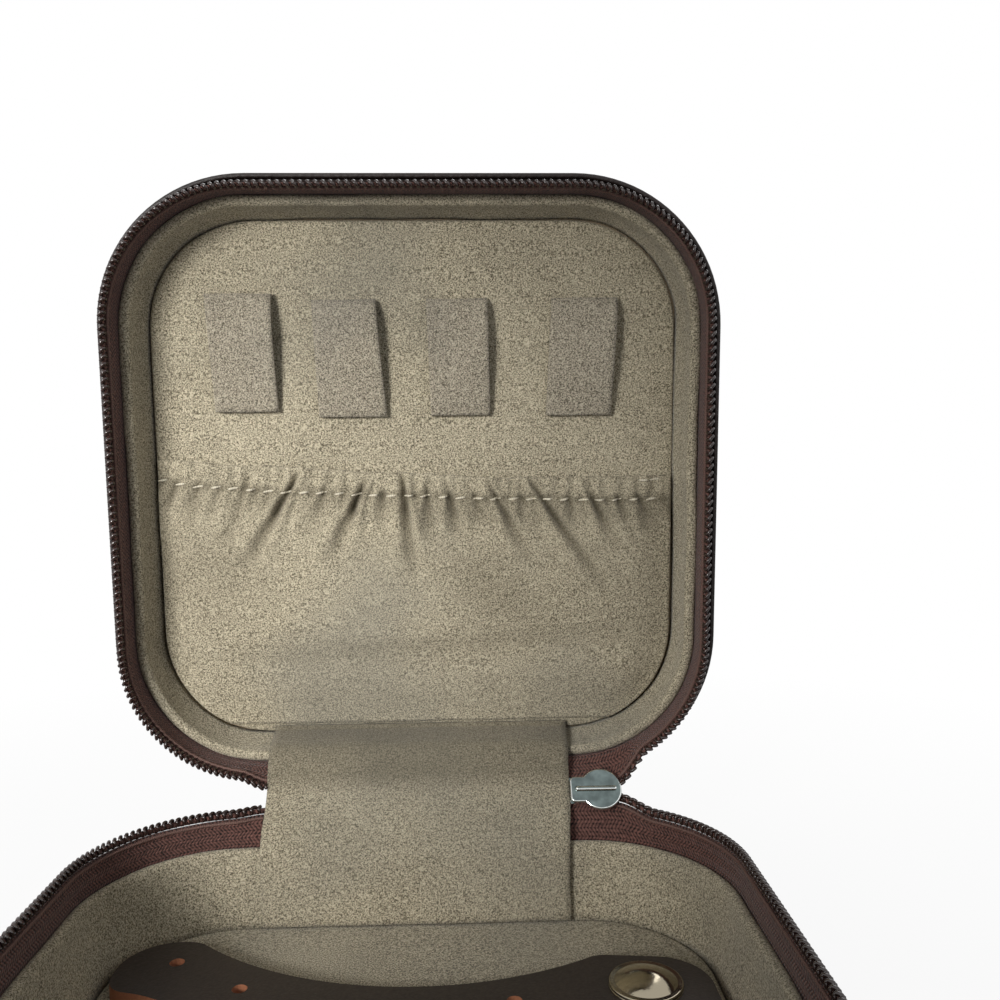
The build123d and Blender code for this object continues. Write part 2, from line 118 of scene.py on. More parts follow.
class Half(Enum):
    """The two halves of the case, by the name of the body that each belongs to."""

    BASE = "base"
    LID = "lid"


class Socket:
    """A shader value that arithmetic can be written on."""

    def __init__(self, graph: "Graph", link: bpy.types.NodeSocket) -> None:
        """Wraps an output socket of the graph."""
        self.graph = graph
        self.link = link

    def _math(self, operation: str, first: "Socket | float", second: "Socket | float") -> "Socket":
        """The output of one Math node."""
        return self.graph.node("ShaderNodeMath", {"operation": operation}, {0: first, 1: second})

    def __add__(self, other: "Socket | float") -> "Socket":
        """This value plus another."""
        return self._math("ADD", self, other)

    __radd__ = __add__

    def __sub__(self, other: "Socket | float") -> "Socket":
        """This value less another."""
        return self._math("SUBTRACT", self, other)

    def __rsub__(self, other: "Socket | float") -> "Socket":
        """Another value less this one."""
        return self._math("SUBTRACT", other, self)

    def __mul__(self, other: "Socket | float") -> "Socket":
        """This value times another."""
        return self._math("MULTIPLY", self, other)

    __rmul__ = __mul__

    def __truediv__(self, other: "Socket | float") -> "Socket":
        """This value over another."""
        return self._math("DIVIDE", self, other)

    def __pow__(self, other: "Socket | float") -> "Socket":
        """This value to a power."""
        return self._math("POWER", self, other)

    def larger(self, other: "Socket | float") -> "Socket":
        """The greater of this value and another."""
        return self._math("MAXIMUM", self, other)

    def sine(self) -> "Socket":
        """The sine of this value in radians."""
        return self._math("SINE", self, 0.0)

    def size(self) -> "Socket":
        """This value without its sign."""
        return self._math("ABSOLUTE", self, 0.0)

    def ping_pong(self, span: float) -> "Socket":
        """This value folded to and fro between nought and the span."""
        return self._math("PINGPONG", self, span)

    def spread(self, low: float, high: float) -> "Socket":
        """This value stretched so that low gives nought and high gives one, and clamped."""
        limits = {"From Min": low, "From Max": high, "Value": self}
        return self.graph.node("ShaderNodeMapRange", {"clamp": True}, limits)


class Graph:
    """A tree of shader nodes."""

    def __init__(self, tree: bpy.types.NodeTree) -> None:
        """Takes the tree that the nodes go into."""
        self.tree = tree

    def node(self, kind: str, settings: dict, sockets: dict, output: int | str = 0) -> Socket:
        """Adds a node.

        Args:
            kind: The node's type.
            settings: Its own settings, set first.
            sockets: Values or links of its inputs by name or number.
            output: The output that is returned.

        Returns:
            The output as a Socket.
        """
        made = self.tree.nodes.new(kind)
        for key, value in settings.items():
            setattr(made, key, value)
        for key, value in sockets.items():
            self.feed(made.inputs[key], value)
        return Socket(self, made.outputs[output])

    def feed(self, target: bpy.types.NodeSocket, value: "Socket | float | Sequence[float]") -> None:
        """Links or sets one input."""
        if isinstance(value, Socket):
            self.tree.links.new(value.link, target)
        elif isinstance(value, (int, float)):
            target.default_value = value
        else:
            room = len(target.default_value)
            target.default_value = (*value, 1.0)[:room]

    def place(self) -> Socket:
        """The place on the piece in its own frame."""
        return self.node("ShaderNodeTexCoord", {}, {}, "Object")

    def chart(self) -> Socket:
        """The place along and across a strip, in metres."""
        return self.node("ShaderNodeUVMap", {"uv_map": "strip"}, {})

    def split(self, vector: Socket) -> tuple[Socket, Socket, Socket]:
        """The three parts of a vector."""
        first = self.node("ShaderNodeSeparateXYZ", {}, {0: vector})
        outputs = first.link.node.outputs
        return Socket(self, outputs[0]), Socket(self, outputs[1]), Socket(self, outputs[2])

    def noise(self, scale: float, detail: float = 2.0, place: Socket | None = None,
              roughness: float = 0.5) -> Socket:
        """Soft noise of this scale, in features per metre."""
        sockets = {"Vector": place or self.place(), "Scale": scale, "Detail": detail,
                   "Roughness": roughness}
        return self.node("ShaderNodeTexNoise", {}, sockets)

    def cells(self, scale: float) -> Socket:
        """Smoothed distance to the nearest cell centre at this scale."""
        return self.node("ShaderNodeTexVoronoi", {"feature": "SMOOTH_F1"},
                         {"Vector": self.place(), "Scale": scale})

    def mix(self, factor: "Socket | float", low: "Socket | Colour",
            high: "Socket | Colour") -> Socket:
        """A colour between two."""
        return self.node("ShaderNodeMix", {"data_type": "RGBA"}, {0: factor, 6: low, 7: high}, 2)

    def bump(self, height: Socket, depth: float) -> Socket:
        """A normal raised by a height, with this depth in metres."""
        return self.node("ShaderNodeBump", {}, {"Height": height, "Distance": depth})


class Surface(Graph):
    """The node tree of one material, with its surface shader."""

    def __init__(self, name: str) -> None:
        """Starts a material with a principled surface."""
        self.material = bpy.data.materials.new(name)
        self.material.use_nodes = True
        super().__init__(self.material.node_tree)
        self.shader = self.tree.nodes["Principled BSDF"]

    def set(self, **values: "Socket | float | Colour") -> None:
        """Feeds the surface shader, with underscores for the spaces in its inputs' names."""
        for key, value in values.items():
            self.feed(self.shader.inputs[key.replace("_", " ")], value)


@dataclass(frozen=True)
class SuedeFinish:
    """Soft microfibre suede: fine speckled grain, with painted sheen patches and painted shade."""

    name: str
    light: Colour
    dark: Colour
    painted_sheen_colour: Colour
    grain: float = 3300.0
    cloud: float = 60.0
    painted_sheen_and_shade: float = 22.0
    depth: float = 0.22 * MM

    def material(self) -> bpy.types.Material:
        """Builds the finish."""
        graph = Surface(self.name)
        grain = graph.noise(self.grain, 3.0, roughness=0.75)
        cloud = graph.noise(self.cloud, 3.0, roughness=0.55)
        fibre = graph.noise(self.grain * 0.62, 2.0)
        tone = (grain * 0.94 + cloud * 0.06).spread(0.39, 0.61)
        colour = graph.mix(tone, self.dark, self.light)
        # Painted sheen: large patches mixed towards a cooler grey.
        painted_sheen_and_shade = graph.noise(self.painted_sheen_and_shade, 2.0).spread(0.52, 0.72) * 0.4
        colour = graph.mix(painted_sheen_and_shade, colour, self.painted_sheen_colour)
        # Painted shade: pieces that carry it darken towards a deeper copy of the dark colour.
        nap = graph.node("ShaderNodeAttribute", {"attribute_name": "nap"}, {}, "Fac")
        colour = graph.mix(nap, colour, shade(self.dark, 0.8))
        graph.set(Base_Color=colour, Roughness=0.96, Sheen_Weight=0.18, Sheen_Roughness=0.5,
                  Specular_IOR_Level=0.12, Normal=graph.bump(grain * 0.7 + fibre * 0.3, self.depth))
        return graph.material


@dataclass(frozen=True)
class LeatherFinish:
    """Pebbled leather with a low shine and fine creases."""

    name: str
    light: Colour
    dark: Colour
    pebble: float
    depth: float
    roughness: float
    raw_edge: Colour | None = None
    wear: float = 60.0
    fibre: float = 2600.0

    def material(self) -> bpy.types.Material:
        """Builds the finish."""
        graph = Surface(self.name)
        pebble = graph.cells(self.pebble)
        crease = graph.noise(self.pebble * 0.45, 4.0)
        wear = graph.noise(self.wear, 3.0)
        tone = (pebble * 0.5 + wear * 0.6).spread(0.25, 0.75)
        colour = graph.mix(tone, self.light, self.dark)
        rough = crease.spread(0.2, 0.8) * 0.14 + (self.roughness - 0.05)
        if self.raw_edge:
            upright = graph.split(graph.node("ShaderNodeNewGeometry", {}, {}, "Normal"))[2].size()
            edge = 1.0 - upright.spread(0.35, 0.6)
            fibres = graph.noise(self.fibre, 3.0)
            raw = graph.mix(fibres, shade(self.raw_edge, 0.62), self.raw_edge)
            colour = graph.mix(edge, colour, raw)
            rough = rough + edge * 0.3
        height = 1.0 - pebble * 0.8 + crease * 0.35
        graph.set(Base_Color=colour, Roughness=rough, Specular_IOR_Level=0.4,
                  Normal=graph.bump(height, self.depth))
        return graph.material


@dataclass(frozen=True)
class TapeFinish:
    """Woven zipper tape: a fine herringbone of paler threads, with painted shade in the lows."""

    name: str
    thread: Colour
    gap_shade: Colour
    rib: float = 0.8 * MM
    lane: float = 1.2 * MM
    slant: float = 1.4
    fluff: float = 1900.0
    depth: float = 0.2 * MM

    def material(self) -> bpy.types.Material:
        """Builds the finish."""
        graph = Surface(self.name)
        along, across, _ = graph.split(graph.chart())
        chevron = (across / self.lane).ping_pong(1.0)
        wave = ((along / self.rib + chevron * self.slant) * math.tau).sine() * 0.5 + 0.5
        lane = ((across / self.lane) * math.tau).sine().size()
        fluff = graph.noise(self.fluff, 3.0, roughness=0.7)
        height = wave * 0.6 + lane * 0.4
        # The weave's pattern with painted shade: the colour falls to the near-black gap colour
        # where the weave is low.
        tone = (height * 0.42 + fluff * 0.8).spread(0.42, 0.86)
        graph.set(Base_Color=graph.mix(tone, self.gap_shade, self.thread), Roughness=0.82,
                  Sheen_Weight=0.15, Specular_IOR_Level=0.25,
                  Normal=graph.bump(height + fluff * 0.6, self.depth))
        return graph.material


@dataclass(frozen=True)
class ThreadFinish:
    """Twisted sewing thread."""

    name: str
    colour: Colour
    roughness: float = 0.7
    twist: float = 0.42 * MM
    depth: float = 0.05 * MM

    def material(self) -> bpy.types.Material:
        """Builds the finish."""
        graph = Surface(self.name)
        along, across, _ = graph.split(graph.chart())
        twist = ((along / self.twist + across * 2.0) * math.tau).sine() * 0.5 + 0.5
        colour = graph.mix(twist, shade(self.colour, 0.72), self.colour)
        graph.set(Base_Color=colour, Roughness=self.roughness,
                  Normal=graph.bump(twist, self.depth))
        return graph.material


@dataclass(frozen=True)
class GlossFinish:
    """Smooth moulded nylon with a faint unevenness."""

    name: str
    colour: Colour
    roughness: float
    uneven: float = 900.0
    depth: float = 0.02 * MM

    def material(self) -> bpy.types.Material:
        """Builds the finish."""
        graph = Surface(self.name)
        uneven = graph.noise(self.uneven, 2.0)
        colour = graph.mix(uneven, shade(self.colour, 0.7), self.colour)
        graph.set(Base_Color=colour, Roughness=uneven * 0.12 + self.roughness,
                  Specular_IOR_Level=0.7, Normal=graph.bump(uneven, self.depth))
        return graph.material


@dataclass(frozen=True)
class MetalFinish:
    """Bright plating with handling marks, and a dark painted reflection on a named flat face."""

    name: str
    colour: Colour
    roughness: float
    face: Point3 | None = None
    painted_reflection_colour: Colour | None = None
    smear: float = 420.0
    pits: float = 2400.0
    depth: float = 0.012 * MM

    def material(self) -> bpy.types.Material:
        """Builds the finish."""
        graph = Surface(self.name)
        smear = graph.noise(self.smear, 3.0)
        pits = graph.noise(self.pits, 2.0)
        rough = smear.spread(0.35, 0.75) * 0.14 + self.roughness
        colour = self.colour
        # Painted reflection: faces square to the named face turn dark, lighter where smeared.
        if self.face and self.painted_reflection_colour:
            normal = graph.node("ShaderNodeTexCoord", {}, {}, "Normal")
            square = graph.node("ShaderNodeVectorMath", {"operation": "DOT_PRODUCT"},
                                {0: normal, 1: self.face}, "Value").size().spread(0.93, 0.995)
            painted_reflection = graph.mix(smear.spread(0.4, 0.65), self.painted_reflection_colour,
                             shade(self.painted_reflection_colour, 1.7))
            colour = graph.mix(square, self.colour, painted_reflection)
        graph.set(Base_Color=colour, Metallic=1.0, Roughness=rough,
                  Normal=graph.bump(pits, self.depth))
        return graph.material


@dataclass(frozen=True)
class BoardFinish:
    """Pressed grey-brown board, seen only at cut edges."""

    name: str
    colour: Colour
    fibre: float = 1300.0
    depth: float = 0.08 * MM

    def material(self) -> bpy.types.Material:
        """Builds the finish."""
        graph = Surface(self.name)
        fibre = graph.noise(self.fibre, 4.0)
        colour = graph.mix(fibre, shade(self.colour, 0.7), self.colour)
        graph.set(Base_Color=colour, Roughness=0.9, Normal=graph.bump(fibre, self.depth))
        return graph.material


class Finishes:
    """Every finish of the box, made once."""

    def __init__(self) -> None:
        """Makes the materials."""
        # The third colour of each suede is the colour of its painted sheen.
        self.suede = SuedeFinish("taupe_suede", srgb(212, 202, 177), srgb(84, 77, 62),
                                 srgb(118, 117, 110)).material()
        self.loop = SuedeFinish("loop_suede", srgb(194, 185, 166), srgb(78, 72, 61),
                                srgb(112, 111, 106)).material()
        self.shell = LeatherFinish("shell_leather", srgb(43, 32, 30), srgb(22, 16, 15),
                                   1250.0, 0.00016, 0.5).material()
        self.plate = LeatherFinish("plate_leather", srgb(50, 41, 35), srgb(30, 24, 20),
                                   2100.0, 0.00005, 0.52, srgb(176, 116, 84)).material()
        # The tape's second colour is the painted shade in the gaps of its weave.
        self.tape = TapeFinish("zipper_tape", srgb(126, 88, 80), srgb(16, 8, 7)).material()
        self.coil = GlossFinish("coil_nylon", srgb(50, 33, 29), 0.16).material()
        self.ridge = ThreadFinish("tape_thread", srgb(112, 84, 76)).material()
        # The slider's flat face towards the camera carries a dark painted reflection.
        self.slider = MetalFinish("slider_plating", srgb(222, 226, 224), 0.1,
                                  (0.0, 0.731, -0.682), srgb(92, 102, 101)).material()
        self.cap = MetalFinish("cap_plating", srgb(158, 149, 130), 0.09).material()
        self.cream = ThreadFinish("cream_thread", srgb(226, 218, 198)).material()
        self.brown = ThreadFinish("brown_thread", srgb(46, 32, 30), 0.6).material()
        self.metal = MetalFinish("bright_plating", srgb(214, 214, 208), 0.07).material()
        self.board = BoardFinish("case_board", srgb(150, 135, 112)).material()
        self.dyed_board = BoardFinish("dyed_board", srgb(42, 31, 28)).material()
        self.elastic = ThreadFinish("woven_elastic", srgb(190, 180, 160)).material()


class Case:
    """The case's frame: where its hinge line, planes and outlines lie."""

    corner = 30 * MM
    lid_floor_w = 15.35 * MM

    def __init__(self, frame: dict) -> None:
        """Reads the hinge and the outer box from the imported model."""
        joints = {joint["name"]: joint for joint in frame["record"]["behaviour"]["joints"]}
        hinge = joints["lid_hinge"]
        self.hinge_y = hinge["pos_m"][1]
        self.hinge_z = hinge["pos_m"][2]
        self.opening = math.radians(hinge["range_deg"][1])
        low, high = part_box("base_leather_cover")
        self.half_x = (high[0] - low[0]) / 2
        self.half_y = (high[1] - low[1]) / 2
        self.rim_w = self.hinge_z - high[2]
        self.rim_inset = self.half_x - (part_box("base_wall_lining")[1][0])
        self.floor_w = {Half.BASE: self.hinge_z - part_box("base_floor_pad")[1][2],
                        Half.LID: self.lid_floor_w}
        self.floor_inset = {Half.BASE: self.half_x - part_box("base_floor_pad")[1][0],
                            Half.LID: self.half_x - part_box("lid_panel")[1][0]}

    def at(self, half: Half, x: float, v: float, w: float) -> Vector:
        """The place of a point of a half, with the lid open as it rests.

        Args:
            half: The half that the point belongs to.
            x: Its place along the hinge line.
            v: Its distance from the hinge line towards the half's far side.
            w: Its distance from the teeth's meeting plane into the half.

        Returns:
            The place in the model's frame.
        """
        if half is Half.BASE:
            return Vector((x, self.hinge_y - v, self.hinge_z - w))
        turn = self.opening
        y = -v * math.cos(turn) + w * math.sin(turn)
        z = v * math.sin(turn) + w * math.cos(turn)
        return Vector((x, self.hinge_y + y, self.hinge_z + z))

    def within(self, half: Half, place: Vector) -> Point2:
        """The v and w of a place in a half as it rests.

        Args:
            half: The half that it is measured in.
            place: The place in the model's frame.

        Returns:
            Its v and w.
        """
        y, z = place.y - self.hinge_y, place.z - self.hinge_z
        if half is Half.BASE:
            return -y, -z
        turn = self.opening
        return -y * math.cos(turn) + z * math.sin(turn), y * math.sin(turn) + z * math.cos(turn)

    def outline(self, inset: float, step: float) -> "Outline":
        """The rounded outline of the case, this far inside its shell."""
        return Outline(self.half_x - inset, self.half_y - inset, self.corner - inset,
                       self.hinge_y, step)


class Outline:
    """A rounded rectangle sampled evenly, starting at the middle of the hinge side."""

    def __init__(self, half_x: float, half_y: float, corner: float, centre_v: float,
                 step: float) -> None:
        """Lays out the outline's runs.

        Args:
            half_x: Half its width.
            half_y: Half its depth.
            corner: Its corners' radius.
            centre_v: How far its middle is from the hinge line.
            step: The wanted spacing of its samples.
        """
        self.half_x = half_x
        self.half_y = half_y
        self.corner = corner
        self.centre_v = centre_v
        flat_x = half_x - corner
        flat_y = half_y - corner
        arc = corner * math.pi / 2
        self.runs = [flat_x, arc, 2 * flat_y, arc, 2 * flat_x, arc, 2 * flat_y, arc, flat_x]
        self.length = sum(self.runs)
        self.count = max(8, round(self.length / step))

    def at(self, distance: float) -> tuple[float, float, float, float]:
        """A place along the outline.

        Args:
            distance: How far along it is from the middle of the hinge side.

        Returns:
            Its x and v, and the x and v of the outward direction.
        """
        rest = distance % self.length
        x, y, heading = 0.0, self.half_y, 0.0
        for index, run in enumerate(self.runs):
            step = min(rest, run)
            if index % 2 == 0:
                x += step * math.cos(heading)
                y += step * math.sin(heading)
            else:
                turn = step / self.corner
                x += self.corner * (math.sin(heading) - math.sin(heading - turn))
                y += self.corner * (math.cos(heading - turn) - math.cos(heading))
                heading -= turn
            rest -= step
            if rest <= 0:
                break
        out_x, out_y = -math.sin(heading), math.cos(heading)
        return x, self.centre_v - y, out_x, -out_y

    def samples(self) -> list[tuple[float, float, float, float, float]]:
        """Every sample as its distance, x, v and outward direction."""
        step = self.length / self.count
        return [(index * step, *self.at(index * step)) for index in range(self.count)]


class Workshop:
    """Turns points and faces into objects and hands them to the frame."""

    def __init__(self) -> None:
        """Starts with nothing made."""
        self.made: list[str] = []

    def mesh(self, name: str, points: Sequence[Vector], faces: Sequence[Sequence[int]],
             material: bpy.types.Material, chart: Sequence[Point2] | None = None,
             nap: Sequence[float] | None = None) -> bpy.types.Object:
        """Makes a mesh object.

        Args:
            name: The piece's name.
            points: Its vertices.
            faces: Its faces by vertex number.
            material: Its finish.
            chart: Each vertex's place along and across a strip.
            nap: How much painted shade each vertex has, from nought to one.

        Returns:
            The object, linked to the scene.
        """
        data = bpy.data.meshes.new(name)
        data.from_pydata([tuple(point) for point in points], [], [tuple(face) for face in faces])
        if chart:
            layer = data.uv_layers.new(name="strip")
            for loop in data.loops:
                layer.data[loop.index].uv = chart[loop.vertex_index]
        # Stores the painted shade as a vertex attribute for the suede finish.
        if nap:
            data.attributes.new("nap", "FLOAT", "POINT").data.foreach_set("value", list(nap))
        data.polygons.foreach_set("use_smooth", [True] * len(data.polygons))
        data.materials.append(material)
        data.update()
        piece = bpy.data.objects.new(name, data)
        bpy.context.scene.collection.objects.link(piece)
        self._face_outwards(piece)
        return piece

    def sew(self, name: str, paths: Sequence[Sequence[Vector]], radius: float,
            material: bpy.types.Material) -> bpy.types.Object:
        """Makes a row of stitches.

        Args:
            name: The piece's name.
            paths: Each stitch's middle line.
            radius: The thread's radius.
            material: Its finish.

        Returns:
            The object, linked to the scene.
        """
        points, faces = stitches(paths, radius)
        return self.mesh(name, points, faces, material, [(point.x, point.z) for point in points])

    def _face_outwards(self, piece: bpy.types.Object) -> None:
        """Turns a closed mesh's faces outwards."""
        work = bmesh.new()
        work.from_mesh(piece.data)
        bmesh.ops.recalc_face_normals(work, faces=work.faces)
        work.to_mesh(piece.data)
        work.free()

    def finish(self, piece: bpy.types.Object, body: str, slot: str, *nodes: str) -> None:
        """Rides a piece on a body and hides the nodes that it stands for."""
        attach(piece, body)
        self._enter(piece, slot, nodes)

    def finish_bend(self, piece: bpy.types.Object, slot: str, start: Vector, end: Vector,
                    *nodes: str) -> None:
        """Bakes a piece's place into its mesh and hides the nodes that it stands for."""
        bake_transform(piece)
        self._enter(piece, slot, nodes)

    def _enter(self, piece: bpy.types.Object, slot: str, nodes: Sequence[str]) -> None:
        """Hides a piece's nodes, notes its name and reports it."""
        if nodes:
            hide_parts(*nodes)
        self.made.append(piece.name)
        LOG.info("%s: %d faces", piece.name, len(piece.data.polygons))


def grid_faces(rows: int, columns: int, wrap_rows: bool, wrap_columns: bool) -> list[tuple]:
    """Quads of a grid of vertices, row by row.

    Args:
        rows: How many rows there are.
        columns: How many vertices a row has.
        wrap_rows: Whether the last row joins the first.
        wrap_columns: Whether each row closes on itself.

    Returns:
        The quads.
    """
    faces = []
    for row in range(rows if wrap_rows else rows - 1):
        below = (row + 1) % rows
        for column in range(columns if wrap_columns else columns - 1):
            beside = (column + 1) % columns
            faces.append((row * columns + column, row * columns + beside,
                          below * columns + beside, below * columns + column))
    return faces


def tube_faces(rings: int, sides: int) -> list[tuple]:
    """The faces of a tube of rings, with a face at each end.

    Args:
        rings: How many rings of vertices there are.
        sides: How many vertices a ring has.

    Returns:
        The faces.
    """
    faces = grid_faces(rings, sides, False, True)
    last = (rings - 1) * sides
    faces.append(tuple(range(sides)))
    faces.append(tuple(last + step for step in range(sides)))
    return faces


def ripple(place: Vector, size: float, depth: float, seed: float = 0.0) -> float:
    """Smooth noise at a place, with features of this size and this depth."""
    return noise.noise(Vector(place) / size + Vector((seed, seed * 1.7, seed * 0.3))) * depth


def ease(share: float) -> float:
    """A share from nought to one, eased at both ends and clamped."""
    share = min(1.0, max(0.0, share))
    return share * share * (3 - 2 * share)


def hill(offset: float, width: float) -> float:
    """A smooth hill of height one about nought."""
    return math.exp(-((offset / width) ** 2))


def along(stops: Sequence[Point2], place: float) -> float:
    """The value at a place between stops, eased from each to the next.

    Args:
        stops: Each stop's place and value, in order.
        place: Where the value is wanted.

    Returns:
        The value.
    """
    if place <= stops[0][0]:
        return stops[0][1]
    for (left, low), (right, high) in zip(stops, stops[1:]):
        if place <= right:
            return low + (high - low) * ease((place - left) / (right - left))
    return stops[-1][1]


def slab(rows: int, columns: int,
         spot: Callable[[int, int, int], Vector]) -> tuple[list[Vector], list[tuple]]:
    """The vertices and faces of a closed sheet with a front and a back.

    Args:
        rows: How many rows it has.
        columns: How many vertices a row has on one side.
        spot: Gives the place of a row, a column and a side, 0 in front and 1 behind.

    Returns:
        The vertices and the faces.
    """
    points = []
    for row in range(rows):
        points += [spot(row, column, 0) for column in range(columns)]
        points += [spot(row, column, 1) for column in reversed(range(columns))]
    ring = 2 * columns
    faces = grid_faces(rows, ring, False, True)
    for first in (0, (rows - 1) * ring):
        for column in range(columns - 1):
            faces.append((first + column, first + column + 1,
                          first + ring - 2 - column, first + ring - 1 - column))
    return points, faces


def rounded_path(corners: Sequence[Vector], radii: Sequence[float], step: float) -> list[Vector]:
    """Evenly spaced points along straight runs with rounded corners.

    Args:
        corners: The runs' corners in the Y and Z plane.
        radii: The radius at each inner corner.
        step: The spacing of the points.

    Returns:
        The points, from the first corner to the last.
    """
    line = [corners[0]]
    for index, radius in enumerate(radii, start=1):
        corner = corners[index]
        back = (corners[index - 1] - corner).normalized()
        ahead = (corners[index + 1] - corner).normalized()
        reach = radius / math.tan(back.angle(ahead) / 2)
        for part in range(CURVE_PARTS + 1):
            share = part / CURVE_PARTS
            start, stop = corner + back * reach, corner + ahead * reach
            line.append(start * (1 - share) ** 2 + corner * (2 * share * (1 - share))
                        + stop * share ** 2)
    line.append(corners[-1])
    lengths = [0.0]
    for first, second in zip(line, line[1:]):
        lengths.append(lengths[-1] + (second - first).length)
    count = max(2, round(lengths[-1] / step))
    path, run = [], 0
    for index in range(count + 1):
        place = lengths[-1] * index / count
        while run < len(line) - 2 and lengths[run + 1] < place:
            run += 1
        share = (place - lengths[run]) / max(lengths[run + 1] - lengths[run], 1e-12)
        path.append(line[run].lerp(line[run + 1], min(1.0, share)))
    return path


def tube(path: Sequence[Vector], radius: Callable[[float], float],
         sides: int) -> tuple[list[Vector], list[tuple]]:
    """The vertices and faces of a round thread along a path.

    Args:
        path: The thread's middle line.
        radius: Its radius at a share of its length.
        sides: How many sides it has.

    Returns:
        The vertices and the faces.
    """
    points: list[Vector] = []
    for index, place in enumerate(path):
        ahead = path[min(index + 1, len(path) - 1)] - path[max(index - 1, 0)]
        ahead.normalize()
        side = ahead.cross(TUBE_SIDE).normalized()
        up = side.cross(ahead)
        size = radius(index / (len(path) - 1))
        for step in range(sides):
            angle = step / sides * math.tau
            points.append(place + (side * math.cos(angle) + up * math.sin(angle)) * size)
    return points, tube_faces(len(path), sides)


def stitches(paths: Sequence[Sequence[Vector]], radius: float,
             sides: int = 6) -> tuple[list[Vector], list[tuple]]:
    """The vertices and faces of many short stitches, each thinner at its ends.

    Args:
        paths: Each stitch's middle line.
        radius: The thread's radius at a stitch's middle.
        sides: How many sides the thread has.

    Returns:
        The vertices and the faces.
    """
    points: list[Vector] = []
    faces: list[tuple] = []
    for path in paths:
        more, rings = tube(path, lambda share: radius * (0.45 + 0.55 * math.sin(share * math.pi)),
                           sides)
        faces += [tuple(corner + len(points) for corner in face) for face in rings]
        points += more
    return points, faces


@dataclass
class Part:
    """What every sub-assembly is made from."""

    case: Case
    shop: Workshop
    finishes: Finishes


@dataclass
class HalfPart(Part):
    """A sub-assembly that each half of the case has."""

    half: Half

    def named(self, tail: str) -> str:
        """A name that starts with the half's own."""
        return f"{self.half.value}_{tail}"

    def hand_over(self, piece: bpy.types.Object, slot: str, *tails: str) -> None:
        """Finishes a piece that rides on the half and may stand for nodes of the half."""
        self.shop.finish(piece, self.half.value, slot, *(self.named(tail) for tail in tails))


@dataclass
class WallLining(HalfPart):
    """The padded suede wall of a half, with its rolled rim."""

    thickness: float = 2.2 * MM
    roll: float = 1.0 * MM
    step: float = 1.6 * MM
    foot_rise: float = 0.9 * MM
    pad_overlap: float = 0.1 * MM
    bulge: float = 0.35 * MM
    stiff_points: int = 3
    face_shares: tuple[float, ...] = (0.12, 0.25, 0.4, 0.55, 0.7, 0.85, 1.0)

    def profile(self) -> list[Point2]:
        """The wall's section, closed, from the outer foot up and over the rim.

        Returns:
            The inset and w of each point.
        """
        inset = self.case.rim_inset
        rim = self.case.rim_w
        foot = self.case.floor_w[self.half] + self.foot_rise
        inner_low = self.case.floor_inset[self.half] - self.pad_overlap
        points = [(inset, foot), (inset, (foot + rim) / 2), (inset, rim + self.roll)]
        for turn in range(0, 181, 20):
            angle = math.radians(turn)
            middle = inset + self.thickness / 2
            points.append((middle - math.cos(angle) * self.thickness / 2,
                           rim + self.roll - math.sin(angle) * self.roll))
        inner_high = inset + self.thickness
        for share in self.face_shares:
            bulge = self.bulge * math.sin(share * math.pi)
            points.append((inner_high + (inner_low - inner_high) * share - bulge,
                           rim + self.roll + (foot - rim - self.roll) * share))
        return points

    def build(self) -> None:
        """Makes the wall."""
        outline = self.case.outline(0.0, self.step)
        profile = self.profile()
        points = []
        for distance, x, v, out_x, out_v in outline.samples():
            for index, (inset, w) in enumerate(profile):
                spot = Vector((x - out_x * inset, v - out_v * inset, w))
                soft = 0.0 if index < self.stiff_points else 1.0
                push = ripple(spot, 9 * MM, 0.28 * MM * soft, 3.0)
                push += ripple(spot, 26 * MM, 0.3 * MM * soft, 8.0)
                sag = ripple(spot, 15 * MM, 0.16 * MM * soft, 5.0)
                points.append(self.case.at(self.half, spot.x + out_x * push,
                                           spot.y + out_v * push, w + sag))
        faces = grid_faces(outline.count, len(profile), True, True)
        piece = self.shop.mesh(self.named("wall_suede"), points, faces, self.finishes.suede)
        self.hand_over(piece, "suede", "wall_lining")


@dataclass
class FloorPad(HalfPart):
    """The padded suede panel at the bottom of a half."""

    node: str
    thickness: float = 0.95 * MM
    crown: float = 0.25 * MM
    crown_share: float = 0.6
    deepest: float = 0.15 * MM
    edge: float = 0.5 * MM
    middle_gap: float = 1.2 * MM
    spacing: float = 2.2 * MM
    rings: int = 34

    def build(self) -> None:
        """Makes the panel as rings that close on its middle, with a rolled edge."""
        outline = self.case.outline(self.case.floor_inset[self.half] + LAYER_GAP, self.spacing)
        face_w = self.case.floor_w[self.half]
        reach = min(outline.half_x, outline.half_y)
        points: list[Vector] = []
        levels = [(0.0, face_w + self.thickness), (0.0, face_w + self.edge),
                  (0.18 * MM, face_w + 0.18 * MM), (self.edge, face_w + 0.02 * MM)]
        for ring in range(1, self.rings):
            share = ring / self.rings
            levels.append((self.edge + (reach - self.middle_gap) * share, face_w))
        for inset, w in levels:
            for _, x, v, out_x, out_v in outline.samples():
                shrink = 1 - inset / reach
                px = x * shrink
                pv = outline.centre_v + (v - outline.centre_v) * shrink
                spot = Vector((px, pv, 0))
                rise = self.crown * min(1.0, inset / (12 * MM)) * self.crown_share
                rise += ripple(spot, 30 * MM, 0.22 * MM, 2.0) * min(1.0, inset / (4 * MM))
                points.append(self.case.at(self.half, px, pv, w - max(rise, -self.deepest)))
        count = outline.count
        faces = grid_faces(len(levels), count, False, True)
        points.append(self.case.at(self.half, 0, outline.centre_v,
                                   face_w - self.crown * self.crown_share))
        middle = len(points) - 1
        last = (len(levels) - 1) * count
        faces += [(last + index, last + (index + 1) % count, middle) for index in range(count)]
        faces.append(tuple(range(count)))
        piece = self.shop.mesh(self.named("panel_suede"), points, faces, self.finishes.suede)
        self.shop.finish(piece, self.half.value, "suede", self.node)


